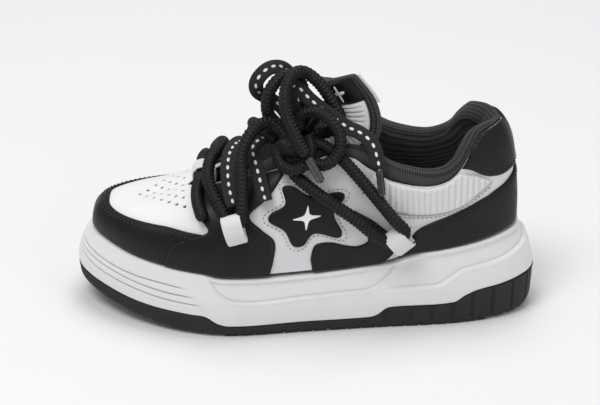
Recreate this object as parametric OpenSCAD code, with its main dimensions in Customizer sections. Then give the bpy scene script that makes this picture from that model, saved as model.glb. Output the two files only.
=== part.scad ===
// Low lace-up trainer with a thick cup sole, left foot, laced and tied.
// X runs from the toe (-X) to the heel (+X), -Y is the outer side of the foot,
// and Z = 0 is the ground under the flat of the tread.

/* [Sole] */
// overall length of the sole
sole_l = 284; // [220:1:320]
// thickness of the flat tread pads under the sole
tread_t = 2; // [1:0.5:4]
// depth of the grooves in the tread pads
groove_d = 1.2; // [0.5:0.1:1.5]
// thickness of the rubber wall of the outsole
rubber_t = 2.4; // [1.5:0.1:4]
// thickness of the outsole's floor
floor_t = 4.5; // [3:0.5:7]
// width of the ledge that the upper stands on
ledge_w = 9; // [7:0.5:12]
// thickness of the insole board
board_t = 2; // [1:0.5:3]
// thickness of the cushioned sockliner
sock_t = 5; // [3:0.5:8]

/* [Upper] */
// how far the upper stands in from the edge of the sole
inset = 3.6; // [2:0.1:6]
// thickness of the base leather
base_t = 1.2; // [0.8:0.1:2]
// thickness of a sewn-on overlay
overlay_t = 1.2; // [0.8:0.1:2]
// thickness of the lining
lining_t = 1.6; // [1:0.1:3]
// air gap between neighbouring layers
gap = 0.5; // [0.3:0.1:1]
// width of a webbing lace loop
loop_w = 12; // [8:0.5:16]
// thickness of the webbing
web_t = 1.3; // [0.8:0.1:2]

/* [Tongue] */
// thickness of the padded tongue
tongue_t = 9; // [6:0.5:14]
// half the width of the tongue at its widest
tongue_half_w = 23; // [18:0.5:30]

/* [Laces] */
// diameter of the round rope lace
rope_d = 7.6; // [5:0.1:10]
// width of the flat lace
flat_w = 9; // [6:0.5:12]
// thickness of the flat lace
flat_t = 2.2; // [1:0.1:3]

/* [Hidden] */
half_l = sole_l / 2;
toe_n = 2.8;
heel_n = 3;
ring_step = 6;
sides = 10;
black = [0.07, 0.07, 0.075];
soft_black = [0.12, 0.12, 0.125];
white = [0.93, 0.93, 0.92];
pale = [0.82, 0.84, 0.86];

// half widths of the sole along X, outer side and inner side
outer_w = [[-142, 38], [-105, 50], [-55, 55], [0, 48], [50, 43], [100, 42], [142, 40]];
inner_w = [[-142, 48], [-105, 53], [-60, 53], [0, 44], [50, 40], [100, 41], [142, 40]];
// height of the outsole's wall and of the midsole's top edge along X
rubber_top = [[-142, 25], [-128, 21.5], [-100, 16.5], [-70, 14.3], [-61, 13.5], [-54, 9],
              [-47, 7.3], [0, 7.8], [40, 8.2], [45, 10], [50, 14], [57, 15], [92, 15.8],
              [99, 20], [107, 22.9], [122, 24.8], [132, 26.5], [142, 28]];
foam_top = [[-142, 49], [-124, 46.5], [-112, 44.7], [-100, 43.3], [-85, 42], [-64, 40.5],
            [-55, 38.3], [-46, 37.8], [-20, 37.5], [0, 38], [25, 40], [47, 42.3], [54, 43.6],
            [61, 46.5], [70, 48.5], [84, 49.8], [98, 51.5], [113, 53.5], [125, 55.5], [142, 58]];
// height of the foot bed along X
bed = [[-142, 37], [-100, 32], [-50, 27], [0, 27], [50, 31], [100, 39], [142, 41]];
// how far the sole's wall leans in at its top, round the outline
lean = [[0, 7.5], [20, 6.5], [45, 4], [90, 3.5], [135, 5], [160, 8], [180, 10]];
// ridge of the upper: spine of the toe box, edge of the throat, top of the collar
ridge_x = [[0, -98], [15, -96], [30, -92], [45, -82], [52, -74], [60, -62], [75, -28], [90, 8],
           [98, 26], [105, 40], [112, 54], [120, 72], [127, 83], [135, 92], [143, 98],
           [150, 103], [165, 113], [180, 118]];
ridge_outer_y = [[0, 3], [15, 3], [30, 3], [45, 3], [52, 2.5], [56, -3], [60, -8], [75, -18],
                 [90, -25], [98, -28], [105, -30], [112, -32], [120, -33], [127, -33],
                 [135, -31], [143, -27], [150, -21], [165, -11], [180, 0]];
ridge_inner_y = [[0, 3], [15, 3], [30, 3], [45, 3], [52, 2.5], [56, 7], [60, 10], [75, 18],
                 [90, 25], [98, 28], [105, 30], [112, 32], [120, 33], [127, 33], [135, 31],
                 [143, 27], [150, 21], [165, 11], [180, 0]];
ridge_z = [[0, 69], [15, 69], [30, 70], [45, 73], [52, 76], [60, 81], [75, 95], [90, 110],
           [98, 117], [105, 113], [112, 105], [120, 100.5], [127, 101.5], [135, 107],
           [143, 117], [150, 124], [165, 126], [180, 124.5]];
// how much of the arch the ridge leaves out, and how boxy the arch is
arch_cut = [[0, 0], [50, 0], [60, 0.1], [75, 0.35], [90, 0.5], [105, 0.7], [120, 0.8],
            [135, 0.75], [150, 0.5], [165, 0.35], [180, 0.3]];
arch_n = [[0, 2.9], [30, 2.8], [60, 2.4], [90, 2.1], [120, 2], [150, 2.2], [180, 2.3]];
spine_u = 52;

// ---- smooth tables ----
function seg(t, x, i = 0) = i >= len(t) - 2 || x < t[i + 1][0] ? i : seg(t, x, i + 1);
function slope(t, i) =
    let (a = max(i - 1, 0), b = min(i + 1, len(t) - 1))
    (t[b][1] - t[a][1]) / (t[b][0] - t[a][0]);
function tab(t, x) =
    let (i = seg(t, x), h = t[i + 1][0] - t[i][0],
         s = min(max((x - t[i][0]) / h, 0), 1), p = t[i][1], q = t[i + 1][1],
         m = slope(t, i) * h, n = slope(t, i + 1) * h)
    p + s * (m + s * (3 * (q - p) - 2 * m - n + s * (2 * (p - q) + m + n)));
function clamp(a, lo = 0, hi = 1) = min(max(a, lo), hi);
function mix(a, b, t) = a + (b - a) * t;

// point t (0 to 1) of a smooth curve through the points p, open or closed
function wrap(p, i, closed) = closed ? p[(i + len(p)) % len(p)] : p[clamp(i, 0, len(p) - 1)];
function curve(p, t, closed = false) =
    let (n = closed ? len(p) : len(p) - 1, i = min(floor(t * n), n - 1), s = t * n - i,
         a = wrap(p, i - 1, closed), b = wrap(p, i, closed),
         c = wrap(p, i + 1, closed), d = wrap(p, i + 2, closed))
    0.5 * (2 * b + s * ((c - a) + s * ((2 * a - 5 * b + 4 * c - d) + s * (3 * b - a - 3 * c + d))));

// ---- sole outline ----
// u goes round the outline: 0 toe, 90 outer side, 180 heel, 270 or -90 inner side
function abs_u(u) = let (w = ((u % 360) + 360) % 360) w > 180 ? 360 - w : w;
function is_outer(u) = (((u % 360) + 360) % 360) <= 180;
function centre_y(x) = 7 * pow(clamp((-40 - x) / 102), 1.5);
function spring(x) = 15 * pow(clamp((-45 - x) / 97), 1.8) + 3.3 * pow(clamp((x - 112) / 30), 2);
function edge(u) =
    let (c = cos(u), x = -half_l * c, n = c > 0 ? toe_n : heel_n,
         e = pow(clamp(1 - pow(abs(c), n)), 1 / n))
    [x, (is_outer(u) ? -tab(outer_w, x) : tab(inner_w, x)) * e + centre_y(x)];
function outline(u, g = 0) =
    let (p = edge(u), d = edge(u + 0.75) - edge(u - 0.75), l = norm(d))
    [p[0] + d[1] / l * g, p[1] - d[0] / l * g];
function ring(u0, g, z) = let (p = outline(u0, g)) [p[0], p[1], z];
function sole_x(u) = -half_l * cos(u);
// outward bulge of the sole's wall at height z
function bulge(u, z) =
    let (x = sole_x(u), s = clamp((z - spring(x)) / (tab(foam_top, x) - spring(x))))
    -1.5 * pow(clamp(1 - s / 0.12), 2) + 1.2 * sin(180 * clamp(s / 0.9))
    - tab(lean, abs_u(u)) * pow(clamp((s - 0.45) / 0.55), 1.6);
function wall(u, z) = ring(u, bulge(u, z), z);
us = [for (u = [0:ring_step:359]) u];

// ---- surface of the upper ----
column = [for (i = [0:180])
    let (u = 2 * i, a = abs_u(u), f = outline(u, -tab(lean, a) - inset),
         rho = clamp(tab(arch_cut, a)), n = tab(arch_n, a))
    [f[0], f[1], tab(foam_top, sole_x(u)) + 0.5,
     tab(ridge_x, a), tab(is_outer(u) ? ridge_outer_y : ridge_inner_y, a), tab(ridge_z, a),
     rho, n, acos(pow(rho, n / 2))]];
function col(u) =
    let (w = (((u % 360) + 360) % 360) / 2, i = floor(w))
    mix(column[i], column[min(i + 1, 180)], w - i);
// base surface: v goes from the foot of the wall (0) to the ridge (1)
function base(u, v) =
    let (c = col(u), a = clamp(v) * c[8],
         k = (pow(cos(a), 2 / c[7]) - c[6]) / (1 - c[6]),
         h = pow(sin(a) / sin(c[8]), 2 / c[7]))
    [mix(c[3], c[0], k), mix(c[4], c[1], k), mix(c[2], c[5], h)];
function unit(a) = a / max(norm(a), 0.000001);
function facing(u, v) =
    let (w = clamp(v, 0.02, 0.98))
    unit(cross(base(u + 0.8, w) - base(u - 0.8, w), base(u, w + 0.015) - base(u, w - 0.015)));
function skin(p, d) =
    let (top = p[1] > 0.999 && abs_u(p[0]) < spine_u + 0.1)
    base(p[0], p[1]) + (top ? [0, 0, 1] : facing(p[0], p[1])) * d;

// ---- solids from grids of points ----
// closed sheet between two grids of the same size, back grid under front grid
module sheet(front, back) {
    n = len(front) - 1;
    m = len(front[0]) - 1;
    w = m + 1;
    o = (n + 1) * w;
    quads = concat(
        [for (i = [0:n - 1], j = [0:m - 1])
            [i * w + j, i * w + j + 1, (i + 1) * w + j + 1, (i + 1) * w + j]],
        [for (i = [0:n - 1], j = [0:m - 1])
            [o + i * w + j, o + (i + 1) * w + j, o + (i + 1) * w + j + 1, o + i * w + j + 1]],
        [for (i = [0:n - 1]) [i * w, (i + 1) * w, o + (i + 1) * w, o + i * w]],
        [for (i = [0:n - 1]) [(i + 1) * w + m, i * w + m, o + i * w + m, o + (i + 1) * w + m]],
        [for (j = [0:m - 1]) [j + 1, j, o + j, o + j + 1]],
        [for (j = [0:m - 1]) [n * w + j, n * w + j + 1, o + n * w + j + 1, o + n * w + j]]);
    polyhedron([for (r = front, p = r) p, for (r = back, p = r) p], tri(quads));
}
function tri(quads) = [for (q = quads) each [[q[0], q[1], q[2]], [q[0], q[2], q[3]]]];

// panel between a lower and an upper edge given in (u, v), s = 1 outer side, -1 inner side
module panel(low, high, d, t, along = 10, across = 4, s = 1) {
    grid = [for (i = [0:along]) let (k = s > 0 ? i / along : 1 - i / along,
                                     a = curve(low, k), b = curve(high, k))
        [for (j = [0:across]) let (p = mix(a, b, j / across)) [s * p[0], p[1]]]];
    sheet([for (r = grid) [for (p = r) skin(p, d + t)]],
          [for (r = grid) [for (p = r) skin(p, d)]]);
}

// panel with a closed outline, as rings round its middle
module island(middle, rim, d, t, around = 30, rings = 2, s = 1) {
    at = [for (r = [1:rings], i = [0:around - 1])
        let (k = s > 0 ? i / around : 1 - i / around, p = mix(middle, curve(rim, k, true), r / rings))
        [s * p[0], p[1]]];
    mid = [s * middle[0], middle[1]];
    n = around;
    o = 1 + rings * n;
    function id(r, i) = 1 + r * n + (i % n);
    polyhedron(
        [skin(mid, d + t), for (p = at) skin(p, d + t), skin(mid, d), for (p = at) skin(p, d)],
        concat(
            [for (i = [0:n - 1]) [0, id(0, i), id(0, i + 1)]],
            [for (i = [0:n - 1]) [o, o + id(0, i + 1), o + id(0, i)]],
            tri([for (r = [0:1:rings - 2], i = [0:n - 1])
                [id(r, i), id(r + 1, i), id(r + 1, i + 1), id(r, i + 1)]]),
            tri([for (r = [0:1:rings - 2], i = [0:n - 1])
                [o + id(r, i), o + id(r, i + 1), o + id(r + 1, i + 1), o + id(r + 1, i)]]),
            tri([for (i = [0:n - 1]) let (r = rings - 1)
                [id(r, i), o + id(r, i), o + id(r, i + 1), id(r, i + 1)]])));
}

// stack of closed rings with a fan at each end; every ring runs the same way round
module stack(rings, first, last) {
    n = len(rings[0]);
    m = len(rings) - 1;
    e = (m + 1) * n;
    polyhedron(
        [for (r = rings, p = r) p, first, last],
        concat(
            tri([for (k = [0:m - 1], i = [0:n - 1]) let (j = (i + 1) % n)
                [k * n + i, (k + 1) * n + i, (k + 1) * n + j, k * n + j]]),
            [for (i = [0:n - 1]) [e, i, (i + 1) % n]],
            [for (i = [0:n - 1]) [e + 1, m * n + (i + 1) % n, m * n + i]]));
}

// solid swept through rings, each ring a cross-section
module tube(rings) {
    n = len(rings[0]);
    m = len(rings) - 1;
    function middle(r) = r * [for (p = r) 1] / len(r);
    stack(rings, [for (c = [0:2]) middle([for (p = rings[0]) p[c]])],
          [for (c = [0:2]) middle([for (p = rings[m]) p[c]])]);
}

// ---- sole ----
function flat_ring(g, zt, k = 1) = [for (u = us) let (p = outline(u, g) * k) [p[0], p[1], zt(p[0])]];
shrink = [0.35, 0.7];

// room left under the outsole for the tread pads, where the sole is flat
function pad_room(x) = (tread_t + 0.1) * clamp((x + 80) / 30) * clamp((140 - x) / 26);

module outsole() {
    under = function (x) spring(x) + pad_room(x);
    inside = function (x) spring(x) + floor_t;
    color(black)
        stack(concat(
            [for (k = shrink) flat_ring(-4, under, k)],
            [flat_ring(-2.2, under)],
            [for (f = [0.12, 0.4, 0.75, 1]) [for (u = us) let (x = sole_x(u))
                wall(u, mix(under(x), tab(rubber_top, x), f))]],
            [[for (u = us) let (x = sole_x(u), z = tab(rubber_top, x))
                ring(u, bulge(u, z) - rubber_t, z)]],
            [flat_ring(-rubber_t - 1, inside)],
            [for (k = [0.7, 0.35]) flat_ring(-4, inside, k)]),
            [0, 0, under(0)], [0, 0, floor_t]);
}

module forefoot_tread() {
    color(soft_black) tread(-50, 13, 9);
}

module heel_tread() {
    color(soft_black) tread(16, 112, 9);
}

// flat pad on the ground between two X positions, with grooves across it
module tread(x0, x1, pitch) {
    difference() {
        linear_extrude(tread_t)
            intersection() {
                polygon([for (u = us) outline(u, -1.4)]);
                translate([x0, -60]) square([x1 - x0, 120]);
            }
        for (x = [x0 + pitch:pitch:x1 - 3])
            translate([x, -70, -1]) cube([1.6, 140, 1 + groove_d]);
    }
}

// extra offset of the midsole's wall: a recessed side panel and a step at the heel
function relief(u, f) =
    let (x = sole_x(u), waist = clamp((x + 62) / 14) * clamp((58 - x) / 10),
         step = clamp((x - 52) / 30))
    -1.2 * waist * clamp((f - 0.42) / 0.12) - 1.4 * step * clamp((f - 0.5) / 0.08) * clamp((1 - f) / 0.2);

module midsole() {
    levels = [0, 0.12, 0.25, 0.38, 0.46, 0.54, 0.62, 0.74, 0.86, 0.95, 1];
    under = function (x) spring(x) + floor_t + gap;
    floor_z = function (x) tab(bed, x) - 8;
    color(white)
        stack(concat(
            [for (k = shrink) flat_ring(-6, under, k)],
            [flat_ring(-rubber_t - 1.6, under)],
            [[for (u = us) let (z = tab(rubber_top, sole_x(u)) + 0.3)
                ring(u, bulge(u, z) - rubber_t - 0.5, z - 0.1)]],
            [for (f = levels) [for (u = us)
                let (x = sole_x(u), z = mix(tab(rubber_top, x) + 0.3, tab(foam_top, x), f))
                ring(u, bulge(u, z) + relief(u, f) - (f == 1 ? 0.8 : 0), z)]],
            [[for (u = us) ring(u, -tab(lean, abs_u(u)) - ledge_w, tab(foam_top, sole_x(u)) - 0.2)]],
            [[for (u = us) let (p = outline(u, -tab(lean, abs_u(u)) - ledge_w - 0.6))
                [p[0], p[1], floor_z(p[0])]]],
            [for (k = [0.7, 0.35]) flat_ring(-12, floor_z, k)]),
            [0, 0, floor_t + gap], [0, 0, floor_z(0)]);
}

// layer that lies on the foot bed between two heights above it
module bed_layer(z0, z1, g) {
    low = function (x) tab(bed, x) + z0;
    high = function (x) tab(bed, x) + z1;
    rim = function (f) [for (u = us) let (p = outline(u, -tab(lean, abs_u(u)) - ledge_w - g))
        [p[0], p[1], f(p[0])]];
    stack([flat_ring(-14, low, 0.4), flat_ring(-14, low, 0.75), rim(low), rim(high),
           flat_ring(-14, high, 0.75), flat_ring(-14, high, 0.4)],
          [0, 0, low(0)], [0, 0, high(0)]);
}

module foam_core() {
    color(pale) bed_layer(-8 + gap, 0, 1.3);
}

module insole_board() {
    color([0.62, 0.5, 0.36]) bed_layer(0.3, board_t, 1.3);
}

module sockliner() {
    color(soft_black) bed_layer(board_t + 0.3, board_t + sock_t, 1.3);
}

// ---- upper: inner parts ----
// sheet over the toe from one side to the other, closed along the spine
module toe_sheet(u1, v0, d, t, along, across) {
    n = 2 * along;
    m = across;
    w = m + 1;
    uu = [for (i = [0:n]) -u1 + i * u1 / along];
    closed = [for (u = uu) abs(u) <= spine_u];
    function id(i, j) = j == m && i > along && closed[i] ? (n - i) * w + m : i * w + j;
    o = (n + 1) * w;
    grid = [for (u = uu) [for (j = [0:m]) [u, mix(v0, 1, pow(j / m, 0.85))]]];
    faces = concat(
        [for (i = [0:n - 1], j = [0:m - 1]) [id(i, j), id(i, j + 1), id(i + 1, j + 1), id(i + 1, j)]],
        [for (i = [0:n - 1], j = [0:m - 1])
            [o + id(i, j), o + id(i + 1, j), o + id(i + 1, j + 1), o + id(i, j + 1)]],
        [for (i = [0:n - 1]) [id(i, 0), id(i + 1, 0), o + id(i + 1, 0), o + id(i, 0)]],
        [for (i = [0:n - 1]) if (!closed[i] || !closed[i + 1])
            [id(i + 1, m), id(i, m), o + id(i, m), o + id(i + 1, m)]],
        [for (j = [0:m - 1]) [id(0, j + 1), id(0, j), o + id(0, j), o + id(0, j + 1)]],
        [for (j = [0:m - 1]) [id(n, j), id(n, j + 1), o + id(n, j + 1), o + id(n, j)]]);
    polyhedron([for (r = grid, p = r) skin(p, d + t), for (r = grid, p = r) skin(p, d)],
               [for (q = tri(faces)) if (q[0] != q[1] && q[1] != q[2] && q[0] != q[2]) q]);
}

lining_d = -gap - 1.4 - gap - lining_t;

module vamp_lining() {
    color(soft_black) toe_sheet(68, 0.02, lining_d, lining_t, 17, 7);
}

module toe_puff() {
    color(pale) panel([[-46, 0.02], [-30, 0.02], [0, 0.02], [30, 0.02], [46, 0.02]],
                      [[-46, 0.4], [-30, 0.5], [0, 0.55], [30, 0.5], [46, 0.4]],
                      -gap - 1.4, 1.4, 22, 3);
}

module heel_stiffener() {
    color(pale) panel([for (u = [138:14:222]) [u, 0.02]], [for (u = [138:14:222]) [u, 0.38]],
                      -gap - 1.4, 1.4, 22, 3);
}

module quarter_lining() {
    color(soft_black) panel([for (u = [69.5:22.1:290.5]) [u, 0.02]],
                            [for (u = [69.5:22.1:290.5]) [u, 0.42]],
                            lining_d, lining_t, 48, 3);
}

// lower edge of the padded collar roll on the outside, round the opening
roll_edge = [[98, 0.9], [105, 0.885], [112, 0.875], [120, 0.87], [128, 0.905], [135, 0.955],
             [150, 0.965], [180, 0.965]];

// cross-section of the padded collar at u, as points round the roll
function collar_ring(u) =
    let (e = tab(roll_edge, abs_u(u)),
         k = clamp((abs_u(u) - 97) / 8, 0.55, 1),
         rim = [[0.46, -gap, 0], [0.66, -gap, 0], [e - 0.02, -gap, 0], [e + 0.01, base_t, 0],
                [1, 1.6, 0], [1, -0.6, 2.2], [1, -4.2 * k, 3], [1, -8 * k, 1.2],
                [1, -9.5 * k, -3], [0.86, -9.5 * k, 0], [0.66, -7.5 * k, 0], [0.46, -4.6, 0]])
    [for (p = rim) skin([u, p[0] > 0.999 ? 0.9985 : p[0]], p[1]) + [0, 0, p[2]]];

module collar_pad() {
    color(black) tube([for (u = [97:5.1875:263]) collar_ring(u)]);
}

// ---- upper: base leather ----
module vamp() {
    color(white) toe_sheet(64, 0.02, 0, base_t, 16, 8);
}

module quarter(s) {
    color(pale) panel([[65, 0.02], [80, 0.02], [95, 0.02], [105, 0.02], [117, 0.02]],
                      [[65, 0.97], [80, 0.97], [95, 0.96], [105, 0.86], [117, 0.85]],
                      0, base_t, 16, 7, s);
}

module rear_quarter() {
    low = [[118, 0.02], [130, 0.02], [145, 0.02], [160, 0.02], [180, 0.02]];
    high = [[118, 0.85], [128, 0.88], [138, 0.935], [158, 0.945], [180, 0.945]];
    color(white) panel(both(low), both(high), 0, base_t, 26, 7);
}
// a list of outer-side points with its mirror image on the inner side added
function both(p) = concat(p, [for (i = [len(p) - 2:-1:0]) [360 - p[i][0], p[i][1]]]);

// ---- upper: overlays ----
over_d = base_t + gap;

module toe_cap() {
    low = [[-51, 0.01], [-34, 0.01], [-17, 0.01], [0, 0.01], [17, 0.01], [34, 0.01], [51, 0.01]];
    high = [[-63, 0.35], [-48, 0.43], [-28, 0.47], [0, 0.57], [28, 0.47], [48, 0.43], [63, 0.35]];
    color(black) panel(low, high, over_d, overlay_t, 30, 4);
}

module front_stay(s) {
    front = [[52.2, 0.01], [57, 0.16], [61, 0.27], [65, 0.36], [62.5, 0.5], [60.5, 0.7], [60, 0.95]];
    back = [[81.5, 0.01], [82.5, 0.13], [82.5, 0.27], [79, 0.38], [75.5, 0.52], [80, 0.68], [83, 0.95]];
    color(black) strip(front, back, over_d, overlay_t, 14, 5, s);
}
// like a panel, with its two edges running up the side
module strip(front, back, d, t, along, across, s) {
    grid = [for (i = [0:across]) let (k = s > 0 ? i / across : 1 - i / across)
        [for (j = [0:along]) let (p = mix(curve(front, j / along), curve(back, j / along), k))
            [s * p[0], p[1]]]];
    sheet([for (r = grid) [for (p = r) skin(p, d + t)]],
          [for (r = grid) [for (p = r) skin(p, d)]]);
}

module rear_overlay(s) {
    outside = [[92, 0.01], [97, 0.01], [101, 0.01], [105, 0.01], [108, 0.01], [110.5, 0.02],
               [112.5, 0.08], [113, 0.16], [112, 0.27], [107.5, 0.39], [102, 0.46]];
    inside = [[91.5, 0.1], [92.5, 0.2], [96, 0.21], [100, 0.18], [103, 0.17], [105.5, 0.2],
              [105.7, 0.24], [104.8, 0.29], [103, 0.33], [100.5, 0.38], [98.5, 0.42]];
    color(black) panel(outside, inside, over_d, overlay_t, 20, 3, s);
}

star_rim = [[85.2, 0.73], [82.8, 0.73], [84.2, 0.57], [81, 0.51], [80.7, 0.44], [84.8, 0.34],
            [87, 0.22], [89.6, 0.21], [92.2, 0.29], [98, 0.24], [99, 0.29], [96.8, 0.42],
            [99, 0.55], [97.6, 0.6], [90.5, 0.6]];

module star(s) {
    color(black) island([90, 0.44], star_rim, over_d, overlay_t, 45, 2, s);
}

module rib_panel(s) {
    low = [[105.5, 0.72], [110, 0.57], [116, 0.5], [122, 0.485], [128, 0.475], [134, 0.475],
           [139, 0.48], [143.5, 0.475], [147, 0.46]];
    high = [[106, 0.83], [109, 0.85], [113, 0.845], [117, 0.84], [121, 0.84], [125, 0.86],
            [129, 0.885], [132, 0.91], [134, 0.92]];
    color(white) panel(low, high, over_d, 2.2, 20, 4, s);
}

module collar_strip(s) {
    low = [[113, 0.36], [118.5, 0.34], [123, 0.41], [129, 0.44], [135, 0.45], [141, 0.43], [147, 0.4]];
    high = [[109.5, 0.545], [115, 0.485], [121, 0.465], [128, 0.458], [135, 0.462], [142, 0.458], [148, 0.44]];
    color(pale) panel(low, high, over_d, 0.8, 16, 2, s);
}

module heel_overlay() {
    low = [[114, 0.01], [120, 0.01], [126, 0.01], [132, 0.01], [138, 0.01], [144, 0.01],
           [151, 0.01], [160, 0.01], [170, 0.01], [180, 0.01]];
    high = [[118.5, 0.27], [121, 0.33], [124.5, 0.375], [129, 0.4], [134, 0.41], [140, 0.39],
            [146, 0.355], [154, 0.345], [167, 0.37], [180, 0.38]];
    color(black) panel(both(low), both(high), over_d, overlay_t, 40, 4);
}

module heel_tab() {
    low = [[139.5, 0.8], [143, 0.63], [148, 0.49], [155, 0.43], [166, 0.42], [180, 0.425]];
    high = [[136, 0.93], [141, 0.94], [147, 0.945], [155, 0.945], [166, 0.945], [180, 0.945]];
    color(black) panel(both(low), both(high), over_d, overlay_t, 26, 4);
}

// small raised badge on each star
module badge(s) {
    rim = [[90, 0.53], [89.2, 0.455], [86.5, 0.43], [89.2, 0.405], [90, 0.33],
           [90.8, 0.405], [93.5, 0.43], [90.8, 0.455]];
    color(white) island([90, 0.43], rim, over_d + overlay_t + gap, 0.6, 24, 1, s);
}

// ---- lace loops ----
// folded webbing: o its middle, across its width, rise the way it opens, n away from the shoe
module folded_web(o, across, rise, n, low) {
    // middle line of the strap as (rise, height) pairs
    line = concat([[-9, low], [-4, low]],
                  [for (a = [-90:36:90]) [2 + 5.2 * cos(a), low + 5.2 + 5.2 * sin(a)]],
                  [[-4, low + 9], [-8, low + 5.4], [-9.4, low + 2.4]]);
    last = len(line) - 1;
    color(white)
        tube([for (i = [0:last])
            let (d = unit(line[min(i + 1, last)] - line[max(i - 1, 0)]), k = [-d[1], d[0]], c = line[i])
            [for (q = [[1, 1], [-1, 1], [-1, -1], [1, -1]])
                o + across * (q[0] * loop_w / 2) + rise * (c[0] + k[0] * q[1] * web_t / 2)
                + n * (c[1] + k[1] * q[1] * web_t / 2)]]);
}

// lace loop on the surface at the (u, v) point at, turned by the angle tip
module web_loop(at, tip) {
    n = facing(at[0], at[1]);
    along = unit(base(at[0] + 1, at[1]) - base(at[0] - 1, at[1]));
    up = cross(n, along);
    folded_web(base(at[0], at[1]), along * cos(tip) + up * sin(tip),
               up * cos(tip) - along * sin(tip), n, over_d + overlay_t + 1.2);
}

// standing loop at the front of the throat
module front_loop() {
    lean_back = [-0.75, 0, 0.66];
    folded_web([-66, 1, 81], [0, 1, 0], lean_back, cross([0, 1, 0], lean_back), 0);
}

// ---- tongue ----
// middle line (X, Z) from the base up, with twist, half width, sag and thickness there
tongue_line = [[-56, 72], [-40, 81], [-18, 92], [4, 103], [19, 112], [27, 122], [25, 135], [16, 149]];
tongue_twist = [0, 0, 0, 6, 18, 32, 42, 48];
tongue_width = [0.56, 0.72, 0.88, 0.98, 0.96, 0.92, 0.86, 0.76];
tongue_sag = [2, 3, 5, 8, 8, 7, 6, 5];
tongue_thick = [0.35, 0.5, 0.7, 0.9, 1, 1, 0.9, 0.6];

// point of the tongue: k along it (0 to 1), w across it (-1 outer side to 1), d towards the front
function tongue_at(k, w, d) =
    let (p = curve(tongue_line, k), q = curve(tongue_line, min(k + 0.02, 1)),
         r = curve(tongue_line, max(k - 0.02, 0)), t = unit([q[0] - r[0], 0, q[1] - r[1]]),
         turn = curve(tongue_twist, k), a0 = [-sin(turn), cos(turn), 0],
         a = unit(a0 - (a0 * t) * t), n = cross(t, a),
         half = tongue_half_w * curve(tongue_width, k), sag = curve(tongue_sag, k))
    [p[0], 0, p[1]] + a * (half * w) + n * (d - sag * w * w);
function tongue_depth(k) = tongue_t * curve(tongue_thick, k) / 2;

module tongue() {
    front = [-1, -0.75, -0.4, 0, 0.4, 0.75, 1];
    back = [0.75, 0.4, 0, -0.4, -0.75];
    color(soft_black)
        tube([for (i = [0:14]) let (k = i / 14, h = tongue_depth(k))
            concat([for (w = front) tongue_at(k, w, h * (1 - pow(abs(w), 3)))],
                   [for (w = back) tongue_at(k, w, -h * (1 - pow(abs(w), 3)))])]);
}

// sheet on the tongue between two heights, d off its middle surface
module tongue_patch(k0, k1, w0, w1, lift, t, along, across, side = 1) {
    function level(k, w) = side * (tongue_depth(k) * (1 - pow(min(abs(w), 1), 3)) + lift);
    grid = [for (i = [0:across]) [for (j = [0:along]) [mix(k0, k1, j / along), mix(w0, w1, i / across)]]];
    near = [for (r = grid) [for (p = r) tongue_at(p[0], p[1], level(p[0], p[1]) + side * t)]];
    far = [for (r = grid) [for (p = r) tongue_at(p[0], p[1], level(p[0], p[1]))]];
    if (side > 0) sheet(far, near);
    else sheet(near, far);
}

module tongue_front() {
    color(white) tongue_patch(0.5, 0.865, -0.82, 0.82, 0.6, 1.4, 8, 8);
}

module tongue_label() {
    color(black) tongue_patch(0.875, 0.99, -0.86, 0.86, 0.6, 1.2, 4, 8);
}

module tongue_tag() {
    color(white) tongue_patch(0.84, 0.97, -1.12, -0.55, 0.8, 0.8, 3, 4, -1);
}

// ---- laces ----
// middle lines of the laces
rope_front_line = [[-62, 29, 86], [-64, 14, 89], [-64, 1, 86], [-65, -12, 88], [-66, -23, 85], [-65, -33, 82],
                   [-62, -43, 77]];
rope_cross_line = [[-32, 46, 83], [-35, 46, 78], [-43, 46, 74], [-50, 47, 73], [-56, 46, 76], [-57, 40, 84],
                   [-53, 28, 94], [-51, 12, 101], [-54, -3, 103], [-58, -15, 102], [-59, -26, 96],
                   [-55, -35, 88], [-50, -42, 81], [-47, -48, 76], [-43, -49, 74], [-39, -48, 78],
                   [-38, -44, 89], [-38, -38, 102], [-38, -31, 115], [-32, -24, 126], [-23, -17, 129],
                   [-15, -18, 124], [-11, -21, 119]];
rope_arch_line = [[-31, 46, 84], [-29, 42, 93], [-30, 34, 102], [-32, 22, 110], [-31, 6, 117], [-25, -6, 119],
                  [-17, -15, 116]];
rope_rear_line = [[4, -24, 119], [11, -27, 118], [21, -33, 113], [32, -39, 103], [43, -44, 91], [53, -47, 79],
                  [60, -46, 70], [57, -45, 64], [51, -45, 62], [42, -47, 68], [29, -48, 80], [13, -44, 90],
                  [0, -38, 98], [-8, -32, 103]];
rope_far_line = [[-1, -14, 120], [6, 1, 124], [14, 18, 124], [22, 34, 118], [33, 42, 106], [44, 45, 92],
                 [53, 45, 79], [60, 44, 70], [57, 43, 64], [51, 43, 62], [42, 45, 68], [28, 47, 81],
                 [12, 44, 93], [-2, 34, 105], [-10, 16, 115], [-10, -2, 118], [-9, -13, 118]];
bow_back_line = [[-3, -17, 124], [-3, -17, 133], [5, -21, 138], [14, -27, 136], [20, -31, 129],
                 [21, -34, 121], [17, -37, 114], [10, -37, 110], [3, -32, 111]];
bow_top_line = [[-8, -15, 122], [-16, -10, 124], [-22, -11, 131], [-23, -12, 140], [-21, -12, 148],
                [-15, -10, 155], [-7, -5, 155], [-2, -1, 146], [0, -3, 135], [-3, -11, 125]];
rope_end_line = [[5, -15, 120], [15, -14, 122], [21, -15, 130], [16, -13, 141], [8, -10, 152], [-1, -10, 159],
                 [-8, -16, 159], [-12, -24, 151], [-11, -30, 140], [-7, -34, 131], [-3, -37, 123], [1, -40, 118]];
rope_tip_line = [[1.6, -40.4, 117], [5, -43, 111], [10, -46, 103]];
flat_cross_line = [[-38, 10, 103], [-42, 0, 107], [-46, -12, 106], [-47, -23, 101], [-46, -33, 93],
                   [-43, -42, 85]];
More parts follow.
